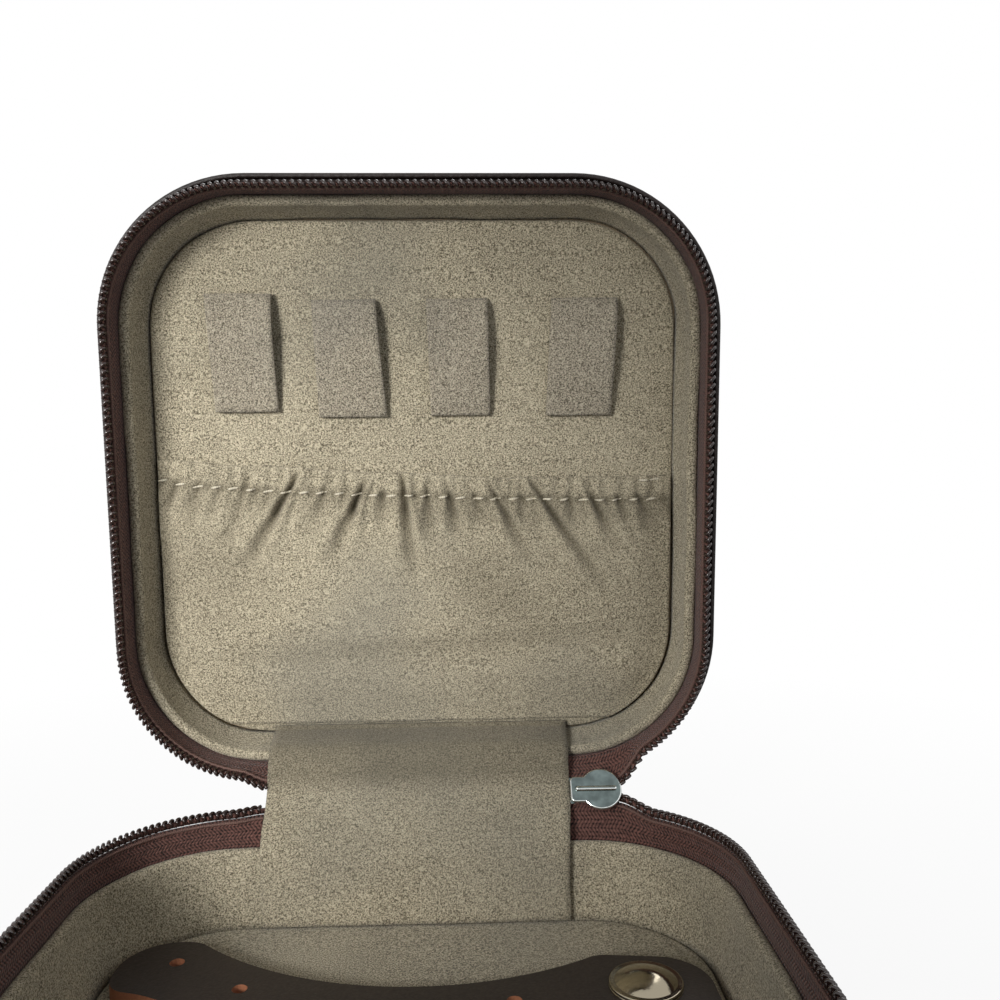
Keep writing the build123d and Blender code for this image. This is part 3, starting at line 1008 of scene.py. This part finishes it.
@dataclass
class Zipper(HalfPart):
    """One side of the zipper: its woven tape and its coil of teeth."""

    tape_t: float = 0.6 * MM
    band_step: float = 1.2 * MM
    lean: float = 0.35 * MM
    tuck_lean: float = 2.1 * MM
    edge_drop: float = 2.3 * MM
    seam: float = 5.0 * MM
    strip_half: float = 30.3 * MM
    tuck: float = 4.3 * MM
    slider_end: float = 41.2 * MM
    slider_reach: float = 9.0 * MM
    slider_v: float = 1.3 * MM
    slider_w: float = 1.5 * MM
    pitch: float = 1.45 * MM
    wire: float = 0.34 * MM
    coil_w: float = 0.5 * MM
    coil_h: float = 0.62 * MM
    middle_w: float = 1.15 * MM
    turn_steps: int = 14
    wire_sides: int = 7
    coil_short: float = 0.5 * MM
    thread_short: float = 0.4 * MM
    thread_step: float = 0.8 * MM
    thread_w: float = 2.75 * MM
    thread_radius: float = 0.3 * MM
    core_half_t: float = 0.34 * MM
    core_half_w: float = 0.6 * MM
    core_w: float = 0.35 * MM
    cord_sides: int = 8
    side_step: float = 0.2 * MM

    def coil_inset(self) -> float:
        """How far inside the shell the coil's middle is."""
        return self.case.rim_inset - self.tape_t / 2 - LAYER_GAP - self.lean

    def far_end(self, short: float) -> float:
        """The distance at which a run stops, this far short of the hinge strip."""
        return self.case.outline(0.0, self.pitch).length - self.strip_half - short

    def pulled(self, distance: float) -> float:
        """How far the free edge is drawn to the slider here, from nought to one."""
        return 1.0 - ease((distance - self.slider_end) / self.slider_reach)

    def spot(self, distance: float, inset: float, w: float, share: float = 1.0) -> Vector:
        """A place on the zipper's band, drawn towards the slider near it.

        Args:
            distance: How far along the outline it is.
            inset: How far inside the shell it is, away from the slider.
            w: Its distance from the meeting plane, away from the slider.
            share: How much of the slider's draw it takes, from nought at the seam.

        Returns:
            The place in the model's frame.
        """
        outline = self.case.outline(0.0, self.pitch)
        x, v, out_x, out_v = outline.at(distance)
        draw = self.pulled(distance) * share
        left = ease((outline.length - distance - self.strip_half) / (7 * MM))
        inset -= self.tuck_lean * (1 - left) * share
        own_v = v - out_v * inset
        drawn_w = w + (self.slider_w - self.edge_drop) * draw
        return self.case.at(self.half, x - out_x * inset,
                            own_v + (self.slider_v - own_v) * draw, drawn_w)

    def tape(self) -> None:
        """Makes the tape: a seam inside the shell and a band that leans out to the coil."""
        outer = self.case.rim_inset - self.tape_t - LAYER_GAP
        rim = self.case.rim_w
        outline = self.case.outline(0.0, self.band_step)
        section = [(0.0, rim + self.seam), (0.0, rim + 0.4 * MM)]
        for share in (0.0, 0.2, 0.4, 0.6, 0.8, 1.0):
            section.append((self.lean * share ** 1.15, rim - (rim - self.edge_drop) * share))
        start = self.strip_half - self.tuck
        end = outline.length - start
        count = int((end - start) / self.band_step)
        points: list[Vector] = []
        chart: list[Point2] = []
        for index in range(count + 1):
            distance = start + (end - start) * index / count
            x, v, _, _ = outline.at(distance)
            for side in (0.0, self.tape_t):
                order = section if side == 0.0 else list(reversed(section))
                for lean, w in order:
                    free = min(1.0, max(0.0, (rim - w) / (rim - self.edge_drop)))
                    wave = ripple(Vector((x, v, 0)), 11 * MM, 0.25 * MM, 4.0) * free
                    points.append(self.spot(distance, outer - lean + side - wave, w, free))
                    chart.append((distance, w))
        piece = self.shop.mesh(self.named("tape_weave"), points,
                               tube_faces(count + 1, 2 * len(section)), self.finishes.tape, chart)
        self.hand_over(piece, "zipper_tape", "zipper_tape")

    def coil(self) -> None:
        """Makes the coil: one continuous wire wound round the tape's free edge."""
        inset = self.coil_inset()
        start = self.slider_end
        turns = int((self.far_end(self.coil_short) - start) / self.pitch)
        shift = 0.0 if self.half is Half.BASE else self.pitch / 2
        path = []
        for index in range(turns * self.turn_steps + 1):
            turn = index / self.turn_steps
            angle = turn * math.tau
            distance = start + shift + turn * self.pitch
            distance += 0.18 * self.pitch * math.sin(2 * angle)
            side = math.sin(angle) * self.coil_w
            w = self.middle_w - math.cos(angle) * self.coil_h
            path.append(self.spot(distance, inset - side, w))
        points, faces = tube(path, lambda share: self.wire, self.wire_sides)
        piece = self.shop.mesh(self.named("coil"), points, faces, self.finishes.coil)
        self.hand_over(piece, "zipper_coil", "zipper_teeth", "coil_cord")

    def ridge(self) -> None:
        """Makes the paler line of thread that sews the coil to the tape."""
        inset = self.case.rim_inset - LAYER_GAP - self.lean
        end = self.far_end(self.thread_short)
        count = int((end - self.slider_end) / self.thread_step)
        path = []
        for index in range(count + 1):
            distance = self.slider_end + (end - self.slider_end) * index / count
            bead = 0.06 * MM * math.sin(distance / self.pitch * math.tau)
            path.append(self.spot(distance, inset + 0.22 * MM + bead, self.thread_w, 0.9))
        sides = self.cord_sides
        points, faces = tube(path, lambda share: self.thread_radius, sides)
        chart = [((index // sides) * self.thread_step, (index % sides) * self.side_step)
                 for index in range(len(points))]
        piece = self.shop.mesh(self.named("tape_thread"), points, faces,
                               self.finishes.ridge, chart)
        self.hand_over(piece, "zipper_tape")

    def core(self) -> None:
        """Makes the flat cord inside the coil."""
        inset = self.coil_inset()
        start, end = self.slider_end, self.far_end(self.thread_short)
        count = int((end - start) / self.band_step)
        points: list[Vector] = []
        chart: list[Point2] = []
        sides = self.cord_sides
        for index in range(count + 1):
            distance = start + (end - start) * index / count
            for step in range(sides):
                angle = step / sides * math.tau
                side = math.cos(angle) * self.core_half_t
                w = self.middle_w + self.core_w + math.sin(angle) * self.core_half_w
                points.append(self.spot(distance, inset - side, w))
                chart.append((distance, step * self.side_step))
        piece = self.shop.mesh(self.named("coil_core"), points, tube_faces(count + 1, sides),
                               self.finishes.tape, chart)
        self.hand_over(piece, "zipper_coil")

    def build(self) -> None:
        """Makes the side's tape, core, coil and sewing thread."""
        self.tape()
        self.core()
        self.coil()
        self.ridge()


@dataclass
class BentStrip:
    """A strip of fabric or leather that crosses the hinge from the base to the lid."""

    case: Case
    shop: Workshop
    name: str
    node: str
    slot: str
    material: bpy.types.Material
    base_places: tuple[Point2, ...]
    lid_places: tuple[Point2, ...]
    radii: tuple[float, ...]
    widths: tuple[Point2, ...]
    thickness: float
    wave: float
    rests_on: tuple[str, ...]
    # Stops of painted shade along the strip, from the base end to the lid end.
    painted_sheen_and_shade: tuple[Point2, ...] = ((0.0, 0.0), (1.0, 0.0))
    step: float = 1.1 * MM
    column_step: float = 1.4 * MM
    edge_share: float = 0.55

    def corners(self) -> list[Vector]:
        """The strip's corners in the Y and Z plane, from the base to the lid."""
        places = [self.case.at(Half.BASE, 0, *place) for place in self.base_places]
        places += [self.case.at(Half.LID, 0, *place) for place in self.lid_places]
        return [Vector((place.y, place.z)) for place in places]

    def build(self) -> None:
        """Makes the strip with soft wrinkles."""
        path = rounded_path(self.corners(), self.radii, self.step)
        widest = max(width for _, width in self.widths)
        columns = round(widest / self.column_step) + 1
        length = self.step * (len(path) - 1)

        def spot(row: int, column: int, side: int) -> Vector:
            """A place on the strip."""
            ahead = path[min(row + 1, len(path) - 1)] - path[max(row - 1, 0)]
            ahead.normalize()
            across = column / (columns - 1)
            x = (across - 0.5) * along(self.widths, row / (len(path) - 1))
            flat = Vector((x, row * self.step, 0))
            rise = ripple(flat, 13 * MM, self.wave, 6.0) + ripple(flat, 5 * MM, self.wave / 4, 9.0)
            rise += self.wave * 0.8
            thin = self.edge_share if column in (0, columns - 1) else 1.0
            rise += (0.5 - side) * self.thickness * thin
            x += ripple(flat, 9 * MM, self.wave, 2.0) * abs(2 * across - 1) ** 6
            return Vector((x, path[row].x - ahead.y * rise, path[row].y + ahead.x * rise))

        points, faces = slab(len(path), columns, spot)
        last = len(path) - 1
        # Painted shade from the stops, row by row along the strip.
        nap = [along(self.painted_sheen_and_shade, index // (2 * columns) / last) for index in range(len(points))]
        piece = self.shop.mesh(self.name, points, faces, self.material, nap=nap)
        list(self.rests_on)
        start = self.case.at(Half.BASE, 0, *self.base_places[-1])
        end = self.case.at(Half.LID, 0, *self.lid_places[0])
        self.shop.finish_bend(piece, self.slot, start, end, self.node)


@dataclass
class NecklaceLoop(Part):
    """A suede loop sewn to the lid's panel at its two ends, standing off at its right."""

    number: int
    left_x: Point2
    right_x: Point2
    low_v: float
    high_v: float
    rows: int = 30
    columns: int = 14
    thickness: float = 0.75 * MM
    off_panel: float = 0.75 * MM
    rise: float = 2.1 * MM
    cut_length: float = 25.6 * MM

    def lift(self, across: float, up: float) -> float:
        """How far the loop's back stands off the panel."""
        arch = math.sin(math.pi * up ** 1.9) ** 0.5 if 0 < up < 1 else 0.0
        return self.off_panel + self.rise * arch * (0.12 + 0.88 * across ** 1.3)

    def build(self) -> None:
        """Makes the loop."""
        panel = self.case.floor_w[Half.LID]

        def spot(row: int, column: int, side: int) -> Vector:
            """A place on the loop."""
            up, across = row / (self.rows - 1), column / (self.columns - 1)
            left = self.left_x[0] + (self.left_x[1] - self.left_x[0]) * up
            right = self.right_x[0] + (self.right_x[1] - self.right_x[0]) * up
            x = left + (right - left) * across
            v = self.low_v + (self.high_v - self.low_v) * up
            soft = ripple(Vector((x, v, 0)), 6 * MM, 0.16 * MM, 1.0 + self.number)
            front = self.thickness * (1 - side)
            return self.case.at(Half.LID, x, v + soft, panel - self.lift(across, up) - front - soft)

        points, faces = slab(self.rows, self.columns, spot)
        piece = self.shop.mesh(f"necklace_loop_suede_{self.number}", points, faces,
                               self.finishes.loop)
        self.shop.finish(piece, "lid", "suede", f"necklace_loop_{self.number}")


@dataclass
class Pocket(Part):
    """The gathered pocket on the lid's panel: ruffled hem, running stitch and pleats."""

    inset: float = 8.25 * MM
    foot_v: float = 10.9 * MM
    cloth: float = 0.6 * MM
    rows: int = 96
    columns: int = 190
    stitch_pitch: float = 3.67 * MM
    stitch_l: float = 2.1 * MM
    stitch_from: float = -53.2 * MM
    stitch_to: float = 53.0 * MM
    stitch_parts: int = 6
    thread_radius: float = 0.26 * MM
    crease_v: float = 27 * MM
    crease_slope: float = 0.06
    gather_pitch: float = 3.3 * MM
    gather_reach: float = 10.5 * MM
    gather_rise: float = 1.5 * MM
    fan_span: float = 48 * MM
    hem_pitch: float = 3.4 * MM
    widest_v: float = 66 * MM
    hem_top: tuple[Point2, ...] = ((-54, 68.6), (-35, 67.2), (-3, 65.3), (18, 64.2), (54, 64.2))
    stitch_line: tuple[Point2, ...] = ((-55, 64.4), (-46, 62.9), (-25, 61.5), (-3, 60.6),
                                       (18, 59.7), (39, 59.3), (53, 59.3))
    # Each pleat, in millimetres: x at the stitch, x and v where it fades, and its depth.
    pleats: tuple[tuple[float, float, float, float], ...] = (
        (-50.5, -54.0, 54.0, 0.5), (-45.5, -48.5, 53.0, 0.6), (-36.0, -40.0, 50.5, 0.6),
        (-27.0, -36.5, 44.5, 1.25), (-19.5, -21.8, 53.0, 0.8), (-12.0, -18.5, 46.0, 1.15),
        (-7.2, -8.5, 54.0, 0.5), (-2.5, -0.8, 42.5, 1.35), (2.2, 2.6, 50.0, 1.0),
        (7.0, 9.0, 51.0, 0.8), (12.6, 14.8, 53.0, 0.7), (17.0, 25.0, 45.0, 1.0),
        (22.5, 24.5, 54.0, 0.5), (26.8, 41.5, 38.5, 1.35), (32.5, 34.5, 54.0, 0.5),
        (37.5, 43.0, 48.5, 1.0), (42.8, 44.5, 54.5, 0.5), (47.5, 51.0, 52.0, 0.95))

    def half_width(self, v: float) -> float:
        """Half the pocket's width.

        Args:
            v: The distance from the hinge line.

        Returns:
            Half the width there.
        """
        corner = self.case.corner - self.inset
        flat = self.case.half_x - self.inset - corner
        low = self.case.hinge_y - self.case.half_y + self.inset
        below = low + corner - v
        if below <= 0:
            return flat + corner
        return flat + math.sqrt(max(corner ** 2 - below ** 2, 0.0))

    def stitch_v(self, x: float) -> float:
        """Where the running stitch lies at this x."""
        return along(self.stitch_line, x / MM) * MM

    def top_v(self, x: float) -> float:
        """Where the hem's ruffled top lies at this x."""
        ruffle = ripple(Vector((x, 0, 0)), 2.6 * MM, 0.35 * MM, 12.0)
        return along(self.hem_top, x / MM) * MM + ruffle

    def folds(self, x: float, v: float, stitch: float) -> float:
        """How far the pleats raise the cloth, or lower it where this is negative.

        Args:
            x: The place along the hinge line.
            v: The distance from the hinge line.
            stitch: The running stitch's v at this x.

        Returns:
            The rise in millimetres.
        """
        total = 0.0
        for top_x, low_x, low_v, depth in self.pleats:
            share = (stitch - v) / (stitch - low_v * MM)
            if share < -0.35 or share > 1:
                continue
            fade = (1 - max(share, 0.0)) ** 0.8 * ease(1 + share / 0.35 if share < 0 else 1.0)
            middle = (top_x + (low_x - top_x) * share) * MM
            width = (0.62 + 1.25 * max(share, 0.0)) * MM
            offset = x - middle
            groove = hill(offset, width) - 0.5 * hill(offset + 1.9 * width, width)
            groove -= 0.5 * hill(offset - 1.9 * width, width)
            total -= 1.6 * depth * fade * groove
        below = stitch - v
        fan = x - x / self.fan_span * 0.5 * max(below, 0.0)
        uneven = ripple(Vector((x, 0, 0)), 9 * MM, 6.0, 15.0)
        gather = math.sin(fan / self.gather_pitch * math.tau + uneven)
        fade = ease(1 - below / self.gather_reach) * ease(1 + below / self.gather_rise)
        return total - 0.62 * fade * ease(0.5 + 0.5 * gather) + 0.15 * fade

    def above_crease(self, x: float, v: float) -> float:
        """How far a place is above the crease across the bag."""
        return v - self.crease_v - self.crease_slope * x

    def height(self, x: float, v: float) -> float:
        """How far the cloth's face stands off the panel.

        Args:
            x: The place along the hinge line.
            v: The distance from the hinge line.

        Returns:
            The height in metres.
        """
        stitch = self.stitch_v(x)
        side = ease((self.half_width(v) - abs(x)) / (8 * MM))
        foot = ease((v - self.foot_v) / (11 * MM))
        rise = 1.0 + 1.35 * side * foot + 0.4 * hill(stitch - v - 8 * MM, 6 * MM)
        rise -= 0.45 * hill(self.above_crease(x, v), 2.4 * MM) * side
        rise += self.folds(x, v, stitch) * min(1.0, 0.25 + side)
        rise -= 0.5 * hill(v - stitch, 0.75 * MM)
        hem = ease((v - stitch) / (2 * MM))
        uneven = ripple(Vector((x, 0, 0)), 7 * MM, 5.0, 3.0)
        gather = math.sin(x / self.hem_pitch * math.tau + uneven)
        rise += 0.34 * gather * hem - 0.35 * hem
        place = Vector((x, v, 0))
        rise += ripple(place, 17 * MM, 0.5, 7.0) * side + ripple(place, 6 * MM, 0.12, 4.0)
        return max(rise, 0.85) * MM

    def painted_sheen_and_shade(self, x: float, v: float) -> float:
        """How much painted shade lies in the pleats, across the bag, by the stitch and at its
        sides.

        Args:
            x: The place along the hinge line.
            v: The distance from the hinge line.

        Returns:
            The darkness, from nought to one.
        """
        stitch = self.stitch_v(x)
        dark = 0.42 * max(0.0, -self.folds(x, v, stitch))
        dark += 0.22 * hill(self.above_crease(x, v), 3 * MM) * hill(x - 2 * MM, 34 * MM)
        dark += 0.24 * hill((x - 17 * MM) + 0.7 * (v - 38 * MM), 9 * MM) * hill(v - 40 * MM, 9 * MM)
        dark += 0.2 * hill(stitch - v - 2 * MM, 3 * MM) + 0.3 * hill(v - stitch, 0.9 * MM)
        dark += 0.12 * ease((x + 10 * MM) / (55 * MM))
        dark += 0.26 * ease((-22 * MM - x) / (20 * MM)) * hill(v - 46 * MM, 13 * MM)
        return min(0.85, dark)

    def face(self, x: float, v: float, back: float = 0.0) -> Vector:
        """A place on the cloth, or this far behind its face."""
        w = self.case.floor_w[Half.LID] - self.height(x, v) + back
        return self.case.at(Half.LID, x, v, w)

    def cloth_piece(self) -> None:
        """Makes the cloth."""
        def spot(row: int, column: int, side: int) -> Vector:
            """A place on the cloth."""
            up = row / (self.rows - 1)
            across = 2 * column / (self.columns - 1) - 1
            reach = self.half_width(self.foot_v + (self.widest_v - self.foot_v) * up)
            x = across * reach
            v = self.foot_v + (self.top_v(x) - self.foot_v) * up
            return self.face(across * min(reach, self.half_width(v)), v, side * self.cloth)

        points, faces = slab(self.rows, self.columns, spot)
        # Painted shade on the cloth, darkest in the grooves of its pleats.
        nap = [self.painted_sheen_and_shade(place.x, self.case.within(Half.LID, place)[0]) for place in points]
        piece = self.shop.mesh("pocket_suede", points, faces, self.finishes.suede, nap=nap)
        self.shop.finish(piece, "lid", "suede", "lid_pocket", "pocket_elastic")

    def thread(self) -> None:
        """Makes the cream running stitch and the tack at its right end."""
        places = []
        x = self.stitch_from
        while x < self.stitch_to:
            places.append((x, self.stitch_v(x), 0.16 * MM))
            x += self.stitch_pitch * (1 + ripple(Vector((x, 0, 0)), 3 * MM, 0.12, 5.0))
        places += [(48.2 * MM, 63.4 * MM, 0.0), (50.6 * MM, 63.5 * MM, 0.1 * MM)]
        paths = []
        for middle, v, slant in places:
            path = []
            for part in range(self.stitch_parts + 1):
                share = part / self.stitch_parts
                px = middle + (share - 0.5) * self.stitch_l
                lift = (0.2 * math.sin(share * math.pi) - 0.06) * MM
                path.append(self.face(px, v + slant * (2 * share - 1), -lift))
            paths.append(path)
        piece = self.shop.sew("pocket_stitches", paths, self.thread_radius, self.finishes.cream)
        self.shop.finish(piece, "lid", "elastic")

    def build(self) -> None:
        """Makes the pocket and its stitching."""
        self.cloth_piece()
        self.thread()


@dataclass
class RimStitch(HalfPart):
    """The row of stitches round the outside of a half's shell, below its rim."""

    below_rim: float = 2.6 * MM
    pitch: float = 2.5 * MM
    length: float = 1.8 * MM
    spine_half: float = 28.6 * MM
    parts: int = 5
    thread_radius: float = 0.2 * MM

    def build(self) -> None:
        """Makes the stitches."""
        outline = self.case.outline(0.0, self.pitch)
        paths = []
        distance = self.spine_half
        while distance < outline.length - self.spine_half:
            path = []
            for part in range(self.parts + 1):
                share = part / self.parts
                x, v, out_x, out_v = outline.at(distance + (share - 0.5) * self.length)
                proud = (0.14 * math.sin(share * math.pi) - 0.03) * MM
                path.append(self.case.at(self.half, x + out_x * proud, v + out_v * proud,
                                         self.case.rim_w + self.below_rim))
            paths.append(path)
            distance += self.pitch
        piece = self.shop.sew(self.named("rim_stitches"), paths, self.thread_radius,
                              self.finishes.brown)
        self.hand_over(piece, "shell_leather")


def hinge_strips(case: Case, shop: Workshop, finishes: Finishes) -> list[BentStrip]:
    """The suede strip inside the hinge and the leather strip outside it.

    Args:
        case: The case that they join.
        shop: Where they are made.
        finishes: What they are covered with.

    Returns:
        The inner strip and the outer one.
    """
    wall, rim = 7.65 * MM, case.rim_w
    lid_foot = 14.75 * MM
    inner = BentStrip(
        case, shop, "hinge_strip_suede", "hinge_strip", "suede", finishes.suede,
        base_places=((9.6 * MM, 21.7 * MM), (wall, rim)),
        lid_places=((wall, rim), (9.05 * MM, lid_foot), (10.25 * MM, lid_foot)),
        radii=(2.0 * MM, 2.0 * MM, 0.9 * MM),
        widths=((0.0, 60.4 * MM), (0.55, 61.9 * MM), (1.0, 63.2 * MM)),
        thickness=0.8 * MM, wave=0.42 * MM,
        rests_on=("base_wall_suede", "lid_wall_suede"),
        # Painted shade: pale over the base, darker where the strip rises to the lid.
        painted_sheen_and_shade=((0.0, 0.05), (0.45, 0.1), (0.56, 0.12), (0.68, 0.5), (1.0, 0.6)))
    back, slack, hem = 0.15 * MM, rim - 1.4 * MM, rim + 6 * MM
    outer = BentStrip(
        case, shop, "spine_leather", "spine_cover", "shell_leather", finishes.shell,
        base_places=((back, hem), (back, slack)),
        lid_places=((back, slack), (back, hem)),
        radii=(3.0 * MM, 3.0 * MM),
        widths=((0.0, 56.0 * MM), (1.0, 56.0 * MM)),
        thickness=0.9 * MM, wave=0.05 * MM,
        rests_on=("base_leather_cover", "lid_leather_cover"))
    return [inner, outer]


def necklace_loops(case: Case, shop: Workshop, finishes: Finishes) -> list[NecklaceLoop]:
    """The four necklace loops.

    Args:
        case: The case that they are in.
        shop: Where they are made.
        finishes: What they are covered with.

    Returns:
        The loops from left to right.
    """
    # Each loop, in millimetres: x of its left and of its right side, at the bottom and at the
    # top, and v of its bottom and of its top.
    places = (((-41.4, -42.8), (-28.4, -29.1), 78.4, 102.6),
              ((-20.0, -21.0), (-5.9, -7.8), 77.2, 101.3),
              ((3.3, 2.6), (15.7, 15.2), 77.4, 101.4),
              ((27.4, 28.6), (41.0, 42.2), 77.2, 101.5))
    loops = []
    for number, (left, right, low, high) in enumerate(places, start=1):
        loops.append(NecklaceLoop(case, shop, finishes, number, tuple(part * MM for part in left),
                                  tuple(part * MM for part in right), low * MM, high * MM))
    return loops


@dataclass(frozen=True)
class Camera:
    """Where the photograph was taken from."""

    place: Point3 = (0.01117, -0.12863, 0.09846)
    pitch: float = 3.34
    yaw: float = 1.83
    roll: float = -0.51
    focal_px: float = 950.0
    frame_px: float = 1000.0
    film: float = 36.0

    def build(self) -> None:
        """Sets up the scene's camera."""
        pitch, yaw, roll = (math.radians(part) for part in (self.pitch, self.yaw, self.roll))
        ahead = Vector((math.sin(yaw) * math.cos(pitch), math.cos(yaw) * math.cos(pitch),
                        -math.sin(pitch)))
        right = ahead.cross(Vector((0, 0, 1))).normalized()
        up = right.cross(ahead)
        tilted = right * math.cos(roll) + up * math.sin(roll)
        upper = up * math.cos(roll) - right * math.sin(roll)
        data = bpy.data.cameras.new("camera")
        data.sensor_fit = "HORIZONTAL"
        data.sensor_width = self.film
        data.lens = self.film * self.focal_px / self.frame_px
        data.clip_start = 0.001
        camera = bpy.data.objects.new("camera", data)
        turn = Matrix((tilted, upper, -ahead)).transposed()
        camera.matrix_world = Matrix.Translation(self.place) @ turn.to_4x4()
        bpy.context.scene.collection.objects.link(camera)
        bpy.context.scene.camera = camera


@dataclass(frozen=True)
class Lamp:
    """One soft square lamp."""

    name: str
    place: Point3
    aim: Point3
    width: float
    power: float
    colour: Colour = (1.0, 1.0, 1.0)
    spread: float = 180.0

    def build(self) -> None:
        """Hangs the lamp."""
        data = bpy.data.lights.new(self.name, "AREA")
        data.size = self.width
        data.spread = math.radians(self.spread)
        data.energy = self.power
        data.color = self.colour
        lamp = bpy.data.objects.new(self.name, data)
        lamp.location = self.place
        direction = Vector(self.aim) - Vector(self.place)
        lamp.rotation_euler = direction.to_track_quat("-Z", "Y").to_euler()
        bpy.context.scene.collection.objects.link(lamp)


@dataclass(frozen=True)
class Studio:
    """The plain pale floor, the soft light and the white surroundings."""

    floor_half: float = 3.0
    ambient: float = 0.26
    near: float = 0.08
    far: float = 0.3
    sink: float = 0.2 * MM
    lamps: tuple[Lamp, ...] = (
        Lamp("key", (-0.18, -0.25, 0.165), (-0.045, 0.06, 0.075), 0.11, 0.1,
             (1.0, 0.985, 0.95), 39.0),
        Lamp("fill", (0.5, -0.35, 0.35), (0.0, 0.03, 0.06), 0.5, 0.3, (0.95, 0.97, 1.0)),
        Lamp("back", (0.15, 0.6, 0.5), (0.0, 0.05, 0.05), 0.4, 1.2),
    )

    def build(self) -> None:
        """Lays the floor, hangs the lamps and sets the world."""
        self._floor()
        for lamp in self.lamps:
            lamp.build()
        self._world()
        bpy.context.scene.view_settings.view_transform = "Standard"

    def _floor(self) -> None:
        """Lays the floor."""
        graph = Surface("pale_floor")
        graph.set(Base_Color=srgb(246, 246, 246), Roughness=0.9)
        x, y, _ = graph.split(graph.place())
        away = ((x * x + y * y) ** 0.5).spread(self.near, self.far) * 0.1 + 0.9
        path = graph.node("ShaderNodeLightPath", {}, {}, "Is Camera Ray")
        white = graph.node("ShaderNodeEmission", {}, {"Color": (1.0, 1.0, 1.0), "Strength": 1.0})
        mixed = graph.node("ShaderNodeMixShader", {}, {0: path * away, 2: white})
        graph.tree.links.new(graph.shader.outputs[0], mixed.link.node.inputs[1])
        graph.tree.links.new(mixed.link, graph.tree.nodes["Material Output"].inputs["Surface"])
        half = self.floor_half
        data = bpy.data.meshes.new("floor")
        corners = [(-half, -half, 0), (half, -half, 0), (half, half, 0), (-half, half, 0)]
        data.from_pydata(corners, [], [(0, 1, 2, 3)])
        data.materials.append(graph.material)
        floor = bpy.data.objects.new("floor", data)
        floor.location.z = -self.sink
        bpy.context.scene.collection.objects.link(floor)

    def _world(self) -> None:
        """White where the camera or a reflection looks, softer as light."""
        world = bpy.data.worlds.new("world")
        bpy.context.scene.world = world
        world.use_nodes = True
        graph = Graph(world.node_tree)
        seen = graph.node("ShaderNodeLightPath", {}, {}, "Is Camera Ray")
        glossy = Socket(graph, seen.link.node.outputs["Is Glossy Ray"])
        background = graph.tree.nodes["Background"]
        background.inputs["Color"].default_value = (1.0, 1.0, 1.0, 1.0)
        strength = seen.larger(glossy) * (1.0 - self.ambient) + self.ambient
        graph.feed(background.inputs["Strength"], strength)


def dress_nodes(frame: dict, finishes: Finishes) -> None:
    """Gives every construction node its finish.

    Args:
        frame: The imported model.
        finishes: The finishes.
    """
    by_slot = {"shell_leather": finishes.shell, "plate_leather": finishes.plate,
               "suede": finishes.suede, "zipper_tape": finishes.tape,
               "zipper_coil": finishes.coil, "elastic": finishes.elastic,
               "board": finishes.board, "chrome": finishes.metal}
    by_node = {"zipper_slider": finishes.slider, "slider_pull": finishes.slider,
               "snap_cap": finishes.cap, "base_stiffener": finishes.dyed_board,
               "lid_stiffener": finishes.dyed_board}
    edges = {"zipper_slider": 0.14 * MM, "slider_pull": 0.18 * MM, "earring_plate": 0.3 * MM}
    for part in frame["record"]["subparts"]:
        name = part["node"]
        node = frame["nodes"][name]
        node.data.materials.clear()
        node.data.materials.append(by_node.get(name, by_slot[part["material_slot"]]))
        if name in edges:
            bevel = node.modifiers.new("soft_edge", "BEVEL")
            bevel.width = edges[name]
            bevel.segments = 2
            bevel.limit_method = "ANGLE"


def main() -> None:
    """Builds the looks round the frame."""
    logging.basicConfig(level=logging.INFO, format="%(name)s %(message)s")
    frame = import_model()
    finishes = Finishes()
    dress_nodes(frame, finishes)
    case = Case(frame)
    shop = Workshop()
    for half in Half:
        WallLining(case, shop, finishes, half).build()
        Zipper(case, shop, finishes, half).build()
        RimStitch(case, shop, finishes, half).build()
    FloorPad(case, shop, finishes, Half.BASE, "base_floor_pad").build()
    FloorPad(case, shop, finishes, Half.LID, "lid_panel").build()
    for strip in hinge_strips(case, shop, finishes):
        strip.build()
    for loop in necklace_loops(case, shop, finishes):
        loop.build()
    Pocket(case, shop, finishes).build()
    Studio().build()
    Camera().build()
    LOG.info("made %d pieces", len(shop.made))


if __name__ == "__main__":
    main()
